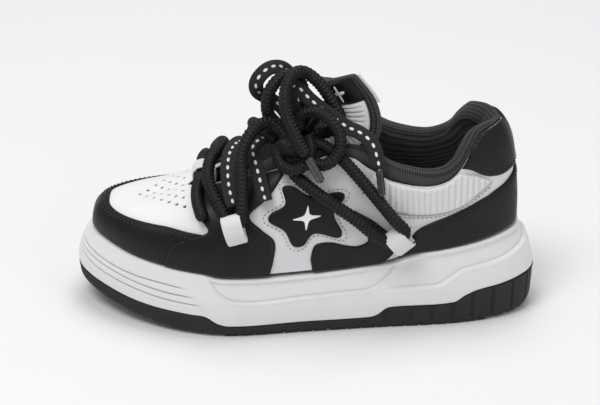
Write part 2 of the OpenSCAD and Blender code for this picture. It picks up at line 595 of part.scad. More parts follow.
flat_rear_line = [[-20, -2, 113], [-27, -9, 114], [-32, -17, 112], [-30, -26, 106], [-27, -34, 97],
                  [-24, -41, 88]];
flat_bow_line = [[-1, -4, 124], [-4, 7, 134], [-8, 10, 146], [-14, 6, 155], [-22, 0, 157], [-29, -4, 151],
                 [-29, -3, 143], [-22, 2, 136], [-14, 2, 130], [-9, -5, 124]];
flat_end_line = [[-3, -17, 124], [-8, -14, 133], [-11, -12, 143], [-8, -13, 151], [-3, -13, 149],
                 [2, -15, 144], [9, -18, 139], [17, -21, 134], [25, -24, 129], [33, -28, 127],
                 [40, -32, 122], [43, -36, 114], [44, -38, 110]];
flat_tip_line = [[44.2, -39.2, 109], [45, -43, 102], [46, -47, 94]];
wrap_line = [[-17, -22, 114], [-15, -31, 109], [-8, -37, 107], [0, -36, 110], [4, -29, 117], [2, -22, 122]];

// lace swept along a line: w wide, t thick, rings across it
module lace(line, w, t, rings, n = sides) {
    tube([for (i = [0:rings])
        let (k = i / rings, p = curve(line, k),
             d = unit(curve(line, min(k + 0.01, 1)) - curve(line, max(k - 0.01, 0))),
             out = unit([0, -0.75, 0.66] - ([0, -0.75, 0.66] * d) * d), side = cross(d, out))
        [for (a = [0:n - 1]) p + side * (w / 2 * cos(360 * a / n)) + out * (t / 2 * sin(360 * a / n))]]);
}
module rope(line, rings) {
    color(black) lace(line, rope_d, rope_d, rings);
}
module flat(line, rings) {
    color(black) lace(line, flat_w, flat_t, rings, 8);
}

module knot() {
    middle = [-7, -23, 116];
    size = [12, 10, 8];
    level = function (b) [for (a = [0:30:359])
        middle + [size[0] * cos(a) * cos(b), size[1] * sin(a) * cos(b), size[2] * sin(b)]];
    color(black)
        stack([for (b = [-60:30:60]) level(b)], middle - [0, 0, size[2]], middle + [0, 0, size[2]]);
}

// ---- all the pieces ----

outsole();
forefoot_tread();
heel_tread();
midsole();
foam_core();
insole_board();
sockliner();
vamp_lining();
toe_puff();
heel_stiffener();
quarter_lining();
collar_pad();
vamp();
quarter(1);  // outer_quarter
quarter(-1);  // inner_quarter
rear_quarter();
toe_cap();
front_stay(1);  // outer_front_stay
front_stay(-1);  // inner_front_stay
rear_overlay(1);  // outer_rear_overlay
rear_overlay(-1);  // inner_rear_overlay
star(1);  // outer_star
star(-1);  // inner_star
badge(1);  // outer_badge
badge(-1);  // inner_badge
rib_panel(1);  // outer_rib_panel
rib_panel(-1);  // inner_rib_panel
collar_strip(1);  // outer_collar_strip
collar_strip(-1);  // inner_collar_strip
heel_overlay();
heel_tab();
front_loop();
web_loop([72, 0.42], 10);  // outer_front_loop
web_loop([-72, 0.42], -10);  // inner_front_loop
web_loop([113.5, 0.27], 28);  // outer_rear_loop
web_loop([-113.5, 0.27], -28);  // inner_rear_loop
tongue();
tongue_front();
tongue_label();
tongue_tag();
knot();
rope(rope_front_line, 5);  // rope_front
rope(rope_cross_line, 18);  // rope_cross
rope(rope_arch_line, 6);  // rope_arch
rope(rope_rear_line, 11);  // rope_rear
rope(rope_far_line, 12);  // rope_far
rope(bow_back_line, 7);  // bow_back
rope(bow_top_line, 8);  // bow_top
rope(rope_end_line, 9);  // rope_end
color([0.7, 0.72, 0.74]) lace(rope_tip_line, 5.6, 5.6, 2);  // rope_tip
flat(flat_cross_line, 4);  // flat_cross
flat(flat_rear_line, 4);  // flat_rear
flat(flat_bow_line, 8);  // flat_bow
flat(flat_end_line, 9);  // flat_end
color(black) lace(flat_tip_line, 5, 3.2, 2);  // flat_tip
rope(wrap_line, 5);  // knot_wrap
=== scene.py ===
"""Low lace-up trainer: the visible pieces, their materials, the camera and the light."""
import math

import bmesh
import bpy
import numpy as np
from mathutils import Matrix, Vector


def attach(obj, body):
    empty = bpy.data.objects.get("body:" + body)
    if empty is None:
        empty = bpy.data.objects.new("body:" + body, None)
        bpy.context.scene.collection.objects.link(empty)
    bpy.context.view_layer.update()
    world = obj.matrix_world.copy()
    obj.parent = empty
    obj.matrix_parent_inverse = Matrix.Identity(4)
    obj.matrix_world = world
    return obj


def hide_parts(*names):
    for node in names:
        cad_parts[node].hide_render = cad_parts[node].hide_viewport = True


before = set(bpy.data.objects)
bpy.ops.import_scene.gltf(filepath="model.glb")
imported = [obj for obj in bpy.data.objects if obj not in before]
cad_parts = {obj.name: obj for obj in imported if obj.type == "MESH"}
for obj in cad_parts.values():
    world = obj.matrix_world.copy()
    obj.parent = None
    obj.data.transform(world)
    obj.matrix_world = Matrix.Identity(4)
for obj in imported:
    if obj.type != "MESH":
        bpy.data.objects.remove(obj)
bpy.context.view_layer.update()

# ---------------------------------------------------------------- shape of the shoe, in millimetres

SOLE_L, RUBBER_T, FLOOR_T, LEDGE_W = 284.0, 2.4, 4.5, 9.0
INSET, BASE_T, LINING_T, GAP = 3.6, 1.2, 1.6, 0.5
TOE_N, HEEL_N = 2.8, 3.0
HALF_L = SOLE_L / 2

OUTER_W = [[-142, 38], [-105, 50], [-55, 55], [0, 48], [50, 43], [100, 42], [142, 40]]
INNER_W = [[-142, 48], [-105, 53], [-60, 53], [0, 44], [50, 40], [100, 41], [142, 40]]
RUBBER_TOP = [[-142, 25], [-128, 21.5], [-100, 16.5], [-70, 14.3], [-61, 13.5], [-54, 9], [-47, 7.3],
              [0, 7.8], [40, 8.2], [45, 10], [50, 14], [57, 15], [92, 15.8], [99, 20], [107, 22.9],
              [122, 24.8], [132, 26.5], [142, 28]]
FOAM_TOP = [[-142, 49], [-124, 46.5], [-112, 44.7], [-100, 43.3], [-85, 42], [-64, 40.5], [-55, 38.3],
            [-46, 37.8], [-20, 37.5], [0, 38], [25, 40], [47, 42.3], [54, 43.6], [61, 46.5],
            [70, 48.5], [84, 49.8], [98, 51.5], [113, 53.5], [125, 55.5], [142, 58]]
BED = [[-142, 37], [-100, 32], [-50, 27], [0, 27], [50, 31], [100, 39], [142, 41]]
LEAN = [[0, 7.5], [20, 6.5], [45, 4], [90, 3.5], [135, 5], [160, 8], [180, 10]]
RIDGE_X = [[0, -98], [15, -96], [30, -92], [45, -82], [52, -74], [60, -62], [75, -28], [90, 8],
           [98, 26], [105, 40], [112, 54], [120, 72], [127, 83], [135, 92], [143, 98], [150, 103],
           [165, 113], [180, 118]]
RIDGE_OUTER_Y = [[0, 3], [15, 3], [30, 3], [45, 3], [52, 2.5], [56, -3], [60, -8], [75, -18],
                 [90, -25], [98, -28], [105, -30], [112, -32], [120, -33], [127, -33], [135, -31],
                 [143, -27], [150, -21], [165, -11], [180, 0]]
RIDGE_INNER_Y = [[0, 3], [15, 3], [30, 3], [45, 3], [52, 2.5], [56, 7], [60, 10], [75, 18], [90, 25],
                 [98, 28], [105, 30], [112, 32], [120, 33], [127, 33], [135, 31], [143, 27],
                 [150, 21], [165, 11], [180, 0]]
RIDGE_Z = [[0, 69], [15, 69], [30, 70], [45, 73], [52, 76], [60, 81], [75, 95], [90, 110], [98, 117],
           [105, 113], [112, 105], [120, 100.5], [127, 101.5], [135, 107], [143, 117], [150, 124],
           [165, 126], [180, 124.5]]
ARCH_CUT = [[0, 0], [50, 0], [60, 0.1], [75, 0.35], [90, 0.5], [105, 0.7], [120, 0.8], [135, 0.75],
            [150, 0.5], [165, 0.35], [180, 0.3]]
ARCH_N = [[0, 2.9], [30, 2.8], [60, 2.4], [90, 2.1], [120, 2], [150, 2.2], [180, 2.3]]
SPINE_U = 52.0


def clamp(a, lo=0.0, hi=1.0):
    """The value held between lo and hi."""
    return np.clip(a, lo, hi)


def mix(a, b, t):
    """From a (t = 0) to b (t = 1)."""
    return a + (b - a) * t


def tab(table, x):
    """Smooth curve through a table of (x, value) pairs."""
    t = np.asarray(table, float)
    xs, ys = t[:, 0], t[:, 1]
    x = np.asarray(x, float)
    i = np.clip(np.searchsorted(xs, x, side="right") - 1, 0, len(xs) - 2)
    m = np.empty(len(xs))
    m[1:-1] = (ys[2:] - ys[:-2]) / (xs[2:] - xs[:-2])
    m[0] = (ys[1] - ys[0]) / (xs[1] - xs[0])
    m[-1] = (ys[-1] - ys[-2]) / (xs[-1] - xs[-2])
    h = xs[i + 1] - xs[i]
    s = clamp((x - xs[i]) / h)
    p, q, a, b = ys[i], ys[i + 1], m[i] * h, m[i + 1] * h
    return p + s * (a + s * (3 * (q - p) - 2 * a - b + s * (2 * (p - q) + a + b)))


def curve(points, t, closed=False):
    """Points at t (0 to 1) on a smooth curve through the given points."""
    p = np.asarray(points, float)
    flat = p.ndim == 1
    p = p[:, None] if flat else p
    t = np.atleast_1d(np.asarray(t, float))
    n = len(p) if closed else len(p) - 1
    i = np.minimum(np.floor(t * n).astype(int), n - 1)
    s = (t * n - i)[:, None]

    def at(k):
        return p[k % len(p)] if closed else p[np.clip(k, 0, len(p) - 1)]

    a, b, c, d = at(i - 1), at(i), at(i + 1), at(i + 2)
    r = 0.5 * (2 * b + s * ((c - a) + s * ((2 * a - 5 * b + 4 * c - d) + s * (3 * b - a - 3 * c + d))))
    return r[:, 0] if flat else r


def run_of(line):
    """Distance along a line of points, from 0 at its first point."""
    return np.concatenate([[0], np.cumsum(np.linalg.norm(np.diff(line, axis=0), axis=1))])


def points_at(at, run, line):
    """Points of a line at the given distances along it."""
    return np.stack([np.interp(at, run, line[:, q]) for q in range(3)], -1)


def circle(count):
    """Evenly spaced angles once round."""
    return np.linspace(0, 2 * np.pi, count, endpoint=False)


def bell(x, width):
    """A smooth bump, 1 where x is 0."""
    return np.exp(-(x / width) ** 2)


def unit(a):
    """Vectors scaled to length 1."""
    return a / np.maximum(np.linalg.norm(a, axis=-1, keepdims=True), 1e-9)


def turn(u):
    """Angle round the sole folded to 0 (toe) to 180 (heel), and whether it is on the outer side."""
    w = np.mod(u, 360.0)
    return np.where(w > 180, 360 - w, w), w <= 180


def centre_y(x):
    """How far the middle line of the sole swings inwards at the toe."""
    return 7 * clamp((-40 - x) / 102) ** 1.5


def spring(x):
    """Lift of the sole's underside off the ground at the toe and heel."""
    return 15 * clamp((-45 - x) / 97) ** 1.8 + 3.3 * clamp((x - 112) / 30) ** 2


def edge(u):
    """Point on the outline of the sole at angle u."""
    a, outer = turn(u)
    c = np.cos(np.radians(a))
    x = -HALF_L * c
    n = np.where(c > 0, TOE_N, HEEL_N)
    e = clamp(1 - np.abs(c) ** n) ** (1 / n)
    w = np.where(outer, -tab(OUTER_W, x), tab(INNER_W, x))
    return x, w * e + centre_y(x)


def outline(u, grow):
    """The outline of the sole moved outwards by grow."""
    x, y = edge(u)
    xa, ya = edge(u - 0.75)
    xb, yb = edge(u + 0.75)
    dx, dy = xb - xa, yb - ya
    length = np.hypot(dx, dy)
    return x + dy / length * grow, y - dx / length * grow


def sole_x(u):
    return -HALF_L * np.cos(np.radians(u))


def bulge(u, z):
    """How far the sole's wall stands out from the outline at height z."""
    x = sole_x(u)
    s = clamp((z - spring(x)) / (tab(FOAM_TOP, x) - spring(x)))
    return (-1.5 * clamp(1 - s / 0.12) ** 2 + 1.2 * np.sin(np.pi * clamp(s / 0.9))
            - tab(LEAN, turn(u)[0]) * clamp((s - 0.45) / 0.55) ** 1.6)


def base(u, v):
    """Base surface of the upper: v runs from the foot of the wall (0) to the ridge (1)."""
    u, v = np.broadcast_arrays(np.asarray(u, float), np.asarray(v, float))
    a, outer = turn(u)
    fx, fy = outline(u, -tab(LEAN, a) - INSET)
    fz = tab(FOAM_TOP, sole_x(u)) + 0.5
    rx = tab(RIDGE_X, a)
    ry = np.where(outer, tab(RIDGE_OUTER_Y, a), tab(RIDGE_INNER_Y, a))
    rz = tab(RIDGE_Z, a)
    rho, n = clamp(tab(ARCH_CUT, a)), tab(ARCH_N, a)
    full = np.arccos(rho ** (n / 2))
    t = clamp(v) * full
    k = (np.cos(t) ** (2 / n) - rho) / (1 - rho)
    h = (np.sin(t) / np.sin(full)) ** (2 / n)
    return np.stack([mix(rx, fx, k), mix(ry, fy, k), mix(fz, rz, h)], axis=-1)


def facing(u, v):
    """Outward direction of the base surface."""
    w = clamp(v, 0.02, 0.98)
    return unit(np.cross(base(u + 0.8, w) - base(u - 0.8, w), base(u, w + 0.015) - base(u, w - 0.015)))


def skin(u, v, d):
    """Points a distance d out from the base surface."""
    u, v, d = np.broadcast_arrays(np.asarray(u, float), np.asarray(v, float), np.asarray(d, float))
    n = facing(u, v)
    top = (v > 0.999) & (turn(u)[0] < SPINE_U + 0.1)
    n = np.where(top[..., None], np.array([0.0, 0.0, 1.0]), n)
    return base(u, v) + n * d[..., None]


TONGUE_T, TONGUE_HALF_W = 9.0, 23.0
TONGUE_LINE = [[-56, 72], [-40, 81], [-18, 92], [4, 103], [19, 112], [27, 122], [25, 135], [16, 149]]
TONGUE_TWIST = [0, 0, 0, 6, 18, 32, 42, 48]
TONGUE_WIDTH = [0.56, 0.72, 0.88, 0.98, 0.96, 0.92, 0.86, 0.76]
TONGUE_SAG = [2, 3, 5, 8, 8, 7, 6, 5]
TONGUE_THICK = [0.35, 0.5, 0.7, 0.9, 1, 1, 0.9, 0.6]


def tongue_depth(k):
    return TONGUE_T * curve(TONGUE_THICK, k) / 2


def tongue_at(k, w, d):
    """Point of the tongue: k from its foot to its top, w from side to side, d out from its middle."""
    k, w, d = [a.ravel() for a in np.broadcast_arrays(*[np.asarray(q, float) for q in (k, w, d)])]
    p = curve(TONGUE_LINE, k)
    t2 = curve(TONGUE_LINE, np.minimum(k + 0.02, 1)) - curve(TONGUE_LINE, np.maximum(k - 0.02, 0))
    t = unit(np.stack([t2[:, 0], np.zeros(len(k)), t2[:, 1]], 1))
    twist = np.radians(curve(TONGUE_TWIST, k))
    a0 = np.stack([-np.sin(twist), np.cos(twist), np.zeros(len(k))], 1)
    a = unit(a0 - (a0 * t).sum(1, keepdims=True) * t)
    n = np.cross(t, a)
    half = TONGUE_HALF_W * curve(TONGUE_WIDTH, k)
    sag = curve(TONGUE_SAG, k)
    middle = np.stack([p[:, 0], np.zeros(len(k)), p[:, 1]], 1)
    return middle + a * (half * w)[:, None] + n * (d - sag * w * w)[:, None]


# ---------------------------------------------------------------- mesh helpers
MM = 0.001


def grid_faces(rows, cols, wrap_rows=False, wrap_cols=False, first=0):
    """Four-sided faces between the points of a grid."""
    i = np.arange(rows if wrap_rows else rows - 1)
    j = np.arange(cols if wrap_cols else cols - 1)
    i, j = np.meshgrid(i, j, indexing="ij")
    i2, j2 = (i + 1) % rows, (j + 1) % cols
    quad = np.stack([i * cols + j, i * cols + j2, i2 * cols + j2, i2 * cols + j], axis=-1)
    return quad.reshape(-1, 4) + first


def build(name, points, quads, tris=None, uv=None, shade=None, mat=None, smooth=True):
    """A mesh object from points in mm, with a UV in mm / 10 and an optional shade attribute."""
    mesh = bpy.data.meshes.new(name)
    quads = np.asarray(quads, dtype=np.int64).reshape(-1, 4)
    tris = np.zeros((0, 3), dtype=np.int64) if tris is None else np.asarray(tris, dtype=np.int64)
    loops = np.concatenate([quads.ravel(), tris.ravel()])
    sizes = np.concatenate([np.full(len(quads), 4), np.full(len(tris), 3)])
    starts = np.concatenate([[0], np.cumsum(sizes)[:-1]])
    mesh.vertices.add(len(points))
    mesh.vertices.foreach_set("co", (np.asarray(points, float) * MM).ravel())
    mesh.loops.add(len(loops))
    mesh.loops.foreach_set("vertex_index", loops.astype(np.int32))
    mesh.polygons.add(len(sizes))
    mesh.polygons.foreach_set("loop_start", starts.astype(np.int32))
    mesh.polygons.foreach_set("loop_total", sizes.astype(np.int32))
    mesh.update(calc_edges=True)
    mesh.polygons.foreach_set("use_smooth", np.full(len(sizes), smooth))
    if uv is not None:
        layer = mesh.uv_layers.new(name="UVMap")
        layer.data.foreach_set("uv", (np.asarray(uv, float)[loops] * 0.1).ravel())
    if shade is not None:
        attribute = mesh.attributes.new("shade", "FLOAT", "POINT")
        attribute.data.foreach_set("value", np.asarray(shade, np.float32).ravel())
    obj = bpy.data.objects.new(name, mesh)
    bpy.context.scene.collection.objects.link(obj)
    if mat:
        mesh.materials.append(mat)
    mesh.validate()
    return obj


def settle(obj, nodes=(), body="shoe"):
    """Tie a piece to its body and the CAD nodes it stands for."""
    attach(obj, body)
    if nodes:
        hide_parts(*nodes)
    return obj


def noise2(x, y, seed, octaves=3):
    """Smooth repeatable noise, about -1 to 1, from sums of turned sines."""
    rng = np.random.RandomState(seed)
    total = np.zeros(np.broadcast(x, y).shape)
    size = 1.0
    for octave in range(octaves):
        for _ in range(4):
            angle = rng.uniform(0, 2 * np.pi)
            phase = rng.uniform(0, 2 * np.pi)
            pitch = rng.uniform(0.7, 1.4) * 2 ** octave
            total = total + size * np.sin(pitch * (x * np.cos(angle) + y * np.sin(angle)) + phase)
        size *= 0.5
    return total / 4


def smooth_step(a, b, x):
    t = clamp((x - a) / (b - a))
    return t * t * (3 - 2 * t)


RIM = [0, 0.1, 0.25, 0.45, 0.75, 1.2, 1.7, 2.2, 2.7, 3.3]


def spread(length, step, rim=RIM):
    """Sample places over lengths (one per row), in mm, close together near both ends."""
    length = np.asarray(length, float)
    rim = np.asarray(rim)
    k = np.minimum(1, length / (2.2 * rim[-1]))
    low = rim[None, :] * k[:, None]
    high = length[:, None] - low[:, ::-1]
    count = max(2, int(np.ceil((length.max() - 2 * rim[-1]) / step)))
    t = np.linspace(0, 1, count + 1)[1:-1]
    middle = mix(low[:, -1:], high[:, :1], t[None, :])
    return np.concatenate([low, middle, high], axis=1)


def rounded(s, r=0.9, low=0.45):
    """Height of a rolled edge, from low at the edge to 1 at a distance r from it."""
    return 1 - (1 - low) * (1 - clamp(s / r)) ** 2


def sheet_uv(u, v):
    """Lengths in mm along and up a (u, v) grid, for UVs."""
    p = base(u, v)
    a = np.linalg.norm(np.diff(p, axis=0), axis=-1)
    b = np.linalg.norm(np.diff(p, axis=1), axis=-1)
    along = np.concatenate([np.zeros((1, p.shape[1])), np.cumsum(a.mean(axis=1, keepdims=True), axis=0)
                            * np.ones((1, p.shape[1]))], axis=0)
    up = np.concatenate([np.zeros((p.shape[0], 1)), np.cumsum(b, axis=1)], axis=1)
    return np.stack([along, up], axis=-1)


def closed_sheet(name, front, back, uv, mat, shade=None):
    """Solid between a front and a back grid of points with the same shape."""
    n, m = front.shape[:2]
    k = n * m
    quads = [grid_faces(n, m), grid_faces(n, m, first=k)[:, ::-1]]
    i, j = np.arange(n - 1), np.arange(m - 1)
    quads.append(np.stack([i * m, (i + 1) * m, k + (i + 1) * m, k + i * m], 1))
    e = m - 1
    quads.append(np.stack([(i + 1) * m + e, i * m + e, k + i * m + e, k + (i + 1) * m + e], 1))
    quads.append(np.stack([j + 1, j, k + j, k + j + 1], 1))
    r = (n - 1) * m
    quads.append(np.stack([r + j, r + j + 1, k + r + j + 1, k + r + j], 1))
    points = np.concatenate([front.reshape(-1, 3), back.reshape(-1, 3)])
    uvs = np.concatenate([uv.reshape(-1, 2)] * 2)
    shades = None if shade is None else np.concatenate([shade.ravel()] * 2)
    return build(name, points, np.concatenate(quads)[:, ::-1], uv=uvs, shade=shades, mat=mat)


def patch_grid(low, high, side, step_a, step_c, rim=RIM):
    """(u, v) samples between two edges, and each sample's distance from the edges of the patch."""
    t = np.linspace(0, 1, 400)
    a, b = curve(low, t), curve(high, t)
    mid = mix(a, b, 0.5)
    length = run_of(base(mid[:, 0], mid[:, 1]))
    at = spread(length[-1:], step_a, rim)[0]
    k = np.interp(at, length, t)
    a, b = curve(low, k), curve(high, k)
    steps = np.linspace(0, 1, 12)
    uu = mix(a[:, :1], b[:, :1], steps[None, :])
    vv = mix(a[:, 1:], b[:, 1:], steps[None, :])
    width = np.linalg.norm(np.diff(base(uu, vv), axis=1), axis=-1).sum(axis=1)
    across = spread(width, step_c, rim)
    f = across / width[:, None]
    u = mix(a[:, :1], b[:, :1], f)
    v = mix(a[:, 1:], b[:, 1:], f)
    ends = np.minimum(at, length[-1] - at)[:, None] * np.ones_like(f)
    return dict(u=u * side, v=v, low=across, high=width[:, None] - across, ends=ends,
                first=at[:, None] * np.ones_like(f), last=(length[-1] - at)[:, None] * np.ones_like(f),
                at=at, width=width)


def panel(name, low, high, mat, side=1, top=2.9, under=0.9, step=1.6, puff=0.0, dents=(), wrinkle=0.0,
          shape=None, soft=0.9):
    """A sewn-on panel: rounded edges, a slight crown, dents under its stitch rows and its own wrinkles."""
    g = patch_grid(low, high, side, step, step)
    s = np.minimum(np.minimum(g["low"], g["high"]), g["ends"])
    height = 1.2 + (top - 1.2) * rounded(s, soft) + puff * (1 - np.exp(-s / 5))
    for edge_name, inset in dents:
        height = height - 0.16 * bell(g[edge_name] - inset, 0.5)
    if wrinkle:
        p = base(g["u"], g["v"])
        height = height + wrinkle * noise2(p[..., 0] / 9, p[..., 2] / 9 + p[..., 1] / 12, 5) * clamp(s / 4)
    if shape:
        height = height + shape(g)
    front = skin(g["u"], g["v"], height)
    back = skin(g["u"], g["v"], np.full_like(height, under))
    if side < 0:
        front, back = front[::-1], back[::-1]
    uv = sheet_uv(g["u"], g["v"])
    uv = uv[::-1] if side < 0 else uv
    return closed_sheet(name, front, back, uv, mat)


def sewn(node, low, high, slot, side=1, **how):
    """A panel that stands for one CAD node."""
    return settle(panel("seen_" + node, low, high, M[LOOK[slot]], side, **how), [node])


def stitches(name, paths, mat, length=2.3, space=0.9, radius=0.3):
    """Rows of short sewn threads; each path is (points in mm, normals)."""
    ring = circle(6)
    along = np.array([-1, -0.8, -0.35, 0.35, 0.8, 1])
    thick = np.array([0.12, 0.7, 1, 1, 0.7, 0.12])
    points, quads, count = [], [], 0
    for line, normal in paths:
        run = run_of(line)
        number = int(run[-1] // (length + space))
        for c in range(number):
            middle = (c + 0.5) * (length + space) + 0.4
            if middle + length / 2 > run[-1]:
                continue
            p = points_at(middle + along * length / 2, run, line)
            n = points_at(middle, run, normal)
            d = p[-1] - p[0]
            d = d / np.linalg.norm(d)
            b = np.cross(n, d)
            arch = 0.22 * (1 - along ** 2) - 0.16
            body = (p[:, None, :] + n * arch[:, None, None]
                    + radius * thick[:, None, None] * (np.cos(ring)[None, :, None] * b * 1.15
                                                       + np.sin(ring)[None, :, None] * n))
            points.append(body.reshape(-1, 3))
            quads.append(grid_faces(6, 6, wrap_cols=True, first=count))
            caps = np.array([[0, 1, 2, 3], [0, 3, 4, 5]])
            quads.append(caps + count)
            quads.append(caps[:, ::-1] + count + 30)
            count += 36
    return build(name, np.concatenate(points), np.concatenate(quads), mat=mat)


def edge_path(low, high, side, which, inset, height, start=0.0, stop=1.0):
    """A line that runs beside one edge of a patch, on its surface."""
    k = np.linspace(start, stop, 400)
    a, b = curve(low, k), curve(high, k)
    steps = np.linspace(0, 1, 12)
    between = base(mix(a[:, :1], b[:, :1], steps), mix(a[:, 1:], b[:, 1:], steps))
    width = np.linalg.norm(np.diff(between, axis=1), axis=-1).sum(axis=1)
    f = (inset / width if which == "low" else 1 - inset / width)[:, None]
    p = mix(a, b, f)
    return skin(p[:, 0] * side, p[:, 1], height), facing(p[:, 0] * side, p[:, 1])


def free_path(points, side, height, closed=False, n=300):
    """A line on the base surface through the given points."""
    p = curve(points, np.linspace(0, 1, n), closed)
    return skin(p[:, 0] * side, p[:, 1], height), facing(p[:, 0] * side, p[:, 1])

# ---------------------------------------------------------------- materials
class Shader:
    """A node tree with short calls for the nodes used here; object coordinates are in metres."""

    def __init__(self, name):
        self.mat = bpy.data.materials.new(name)
        self.mat.use_nodes = True
        self.tree = self.mat.node_tree
        self.bsdf = self.tree.nodes["Principled BSDF"]
        self.place = self.tree.nodes.new("ShaderNodeTexCoord")
        self.object = self.place.outputs["Object"]
        self.uv = self.place.outputs["UV"]

    def node(self, kind, inputs=None, **settings):
        made = self.tree.nodes.new(kind)
        for key, value in settings.items():
            setattr(made, key, value)
        for key, value in (inputs or {}).items():
            self.plug(made.inputs[key], value)
        return made

    def noise(self, scale, detail=4, rough=0.55, vector=None):
        return self.node("ShaderNodeTexNoise", {"Vector": vector or self.object, "Scale": scale,
                                                "Detail": detail, "Roughness": rough}).outputs["Fac"]

    def cells(self, scale, feature="F1", vector=None, output="Distance"):
        return self.node("ShaderNodeTexVoronoi", {"Vector": vector or self.object, "Scale": scale},
                         feature=feature).outputs[output]

    def math(self, operation, a, b=0.0, c=0.0):
        return self.node("ShaderNodeMath", {0: a, 1: b, 2: c}, operation=operation).outputs[0]

    def remap(self, value, a, b, c=0.0, d=1.0):
        return self.node("ShaderNodeMapRange", {"Value": value, "From Min": a, "From Max": b,
                                                "To Min": c, "To Max": d}).outputs["Result"]

    def blend(self, fac, a, b):
        made = self.node("ShaderNodeMix", data_type="RGBA")
        for key, value in ((0, fac), (6, a), (7, b)):
            self.plug(made.inputs[key], value)
        return made.outputs[2]

    def attribute(self, name):
        return self.node("ShaderNodeAttribute", attribute_name=name).outputs["Fac"]

    def bump(self, height, strength, distance, normal=None):
        inputs = {"Height": height, "Strength": strength, "Distance": distance}
        if normal:
            inputs["Normal"] = normal
        return self.node("ShaderNodeBump", inputs).outputs["Normal"]

    def plug(self, socket, value):
        if isinstance(value, bpy.types.NodeSocket):
            self.tree.links.new(value, socket)
        else:
            socket.default_value = value

    def wire(self, key, value):
        self.plug(self.bsdf.inputs[key], value)

    def stretched(self, x, y, z):
        return self.node("ShaderNodeMapping", {"Vector": self.object, "Scale": (x, y, z)}).outputs["Vector"]


def grey(v, tint=(1, 1, 1)):
    return (v * tint[0], v * tint[1], v * tint[2], 1)


def leather(name, colour, rough, grain, depth, strength, wear, coat=0.0, holes=False):
    """Fine pebbled synthetic leather; with holes, the shade attribute darkens their insides."""
    s = Shader(name)
    cells = s.cells(grain, "SMOOTH_F1")
    edges = s.cells(grain * 0.9, "DISTANCE_TO_EDGE")
    fine = s.noise(grain * 2.4, 3)
    broad = s.noise(45, 3)
    patch = s.noise(160, 4)
    dark = tuple(c * (1 - wear * 2.2) for c in colour[:3]) + (1,)
    light = tuple(min(1, c * (1 + wear)) for c in colour[:3]) + (1,)
    tone = s.blend(s.remap(broad, 0.3, 0.7), dark, light)
    pore = s.remap(edges, 0.0, 0.09, 0.82, 1.0)
    tone = s.blend(0.35, tone, s.blend(pore, grey(0), tone))
    if holes:
        tone = s.blend(s.attribute("shade"), tone, grey(0.012))
    s.wire("Base Color", tone)
    s.wire("Roughness", s.math("ADD", s.remap(patch, 0.3, 0.7, rough - 0.05, rough + 0.06),
                               s.remap(cells, 0, 0.8, 0.04, -0.03)))
    height = s.math("ADD", s.math("MULTIPLY", s.remap(edges, 0, 0.12), 0.6),
                    s.math("MULTIPLY", fine, 0.4))
    creases = s.noise(150, 6, 0.6, s.stretched(1, 0.55, 0.8))
    first = s.bump(creases, 0.16, 0.0007)
    s.wire("Normal", s.bump(height, strength, depth, first))
    s.wire("Specular IOR Level", 0.26)
    if coat:
        s.wire("Coat Weight", coat)
        s.wire("Coat Roughness", 0.35)
    return s.mat


def rubber(name, colour, rough=0.62, speckle=2600):
    s = Shader(name)
    fine = s.noise(speckle, 4)
    dust = s.noise(70, 5, 0.65)
    light = tuple(c * 1.35 + 0.004 for c in colour[:3]) + (1,)
    s.wire("Base Color", s.blend(s.remap(dust, 0.42, 0.75, 0, 0.6), colour, light))
    s.wire("Roughness", s.remap(dust, 0.3, 0.7, rough - 0.06, rough + 0.1))
    s.wire("Normal", s.bump(fine, 0.3, 0.00015))
    s.wire("Specular IOR Level", 0.4)
    return s.mat


def moulded_foam(name, colour):
    """Painted moulded foam: nearly smooth, with a very fine skin texture, scuffs, and painted shade in its
    grooves and recesses.
    """
    s = Shader(name)
    skin_tex = s.noise(3200, 3)
    orange = s.cells(900, "SMOOTH_F1")
    scuff = s.noise(60, 7, 0.7, s.stretched(1, 1, 3))
    low = tuple(c * 0.955 for c in colour[:3]) + (1,)
    tone = s.blend(s.remap(scuff, 0.5, 0.74), colour, low)
    # Painted shade: the shade attribute darkens the grooves and the corners under the ledges.
    s.wire("Base Color", s.blend(s.attribute("shade"), tone, grey(0.22)))
    s.wire("Roughness", s.remap(scuff, 0.35, 0.7, 0.42, 0.56))
    s.wire("Normal", s.bump(s.math("ADD", skin_tex, s.math("MULTIPLY", orange, 0.5)), 0.16, 0.0001))
    s.wire("Specular IOR Level", 0.4)
    s.wire("Subsurface Weight", 0.04)
    s.wire("Subsurface Radius", (0.002, 0.002, 0.002))
    return s.mat


def knit(name, dark, light, pitch=1.35, rough=0.9, sheen=0.35):
    """Knitted mesh drawn from the UV in centimetres: two crossed waves and fine rows of yarn."""
    s = Shader(name)
    parts = s.node("ShaderNodeSeparateXYZ", {"Vector": s.uv}).outputs
    x = s.math("MULTIPLY", parts[0], 10 / pitch)
    y = s.math("MULTIPLY", parts[1], 10 / pitch)
    a = s.math("SINE", s.math("MULTIPLY", s.math("ADD", x, s.math("MULTIPLY", y, 0.5)), 2 * math.pi))
    b = s.math("SINE", s.math("MULTIPLY", s.math("SUBTRACT", x, s.math("MULTIPLY", y, 0.5)), 2 * math.pi))
    cell = s.math("MULTIPLY", a, b)
    rows = s.math("SINE", s.math("MULTIPLY", y, 4 * math.pi))
    height = s.math("ADD", s.math("MULTIPLY", cell, 0.8), s.math("MULTIPLY", rows, 0.08))
    fuzz = s.noise(3800, 3)
    tone = s.blend(s.remap(height, -0.5, 0.7), dark, light)
    tone = s.blend(s.remap(fuzz, 0.35, 0.7, 0.0, 0.35), tone, light)
    s.wire("Base Color", tone)
    s.wire("Roughness", s.remap(fuzz, 0.3, 0.7, rough - 0.06, rough + 0.06))
    s.wire("Normal", s.bump(s.math("ADD", height, s.math("MULTIPLY", fuzz, 0.35)), 0.8, 0.00035))
    s.wire("Sheen Weight", sheen)
    s.wire("Sheen Roughness", 0.5)
    s.wire("Specular IOR Level", 0.25)
    return s.mat


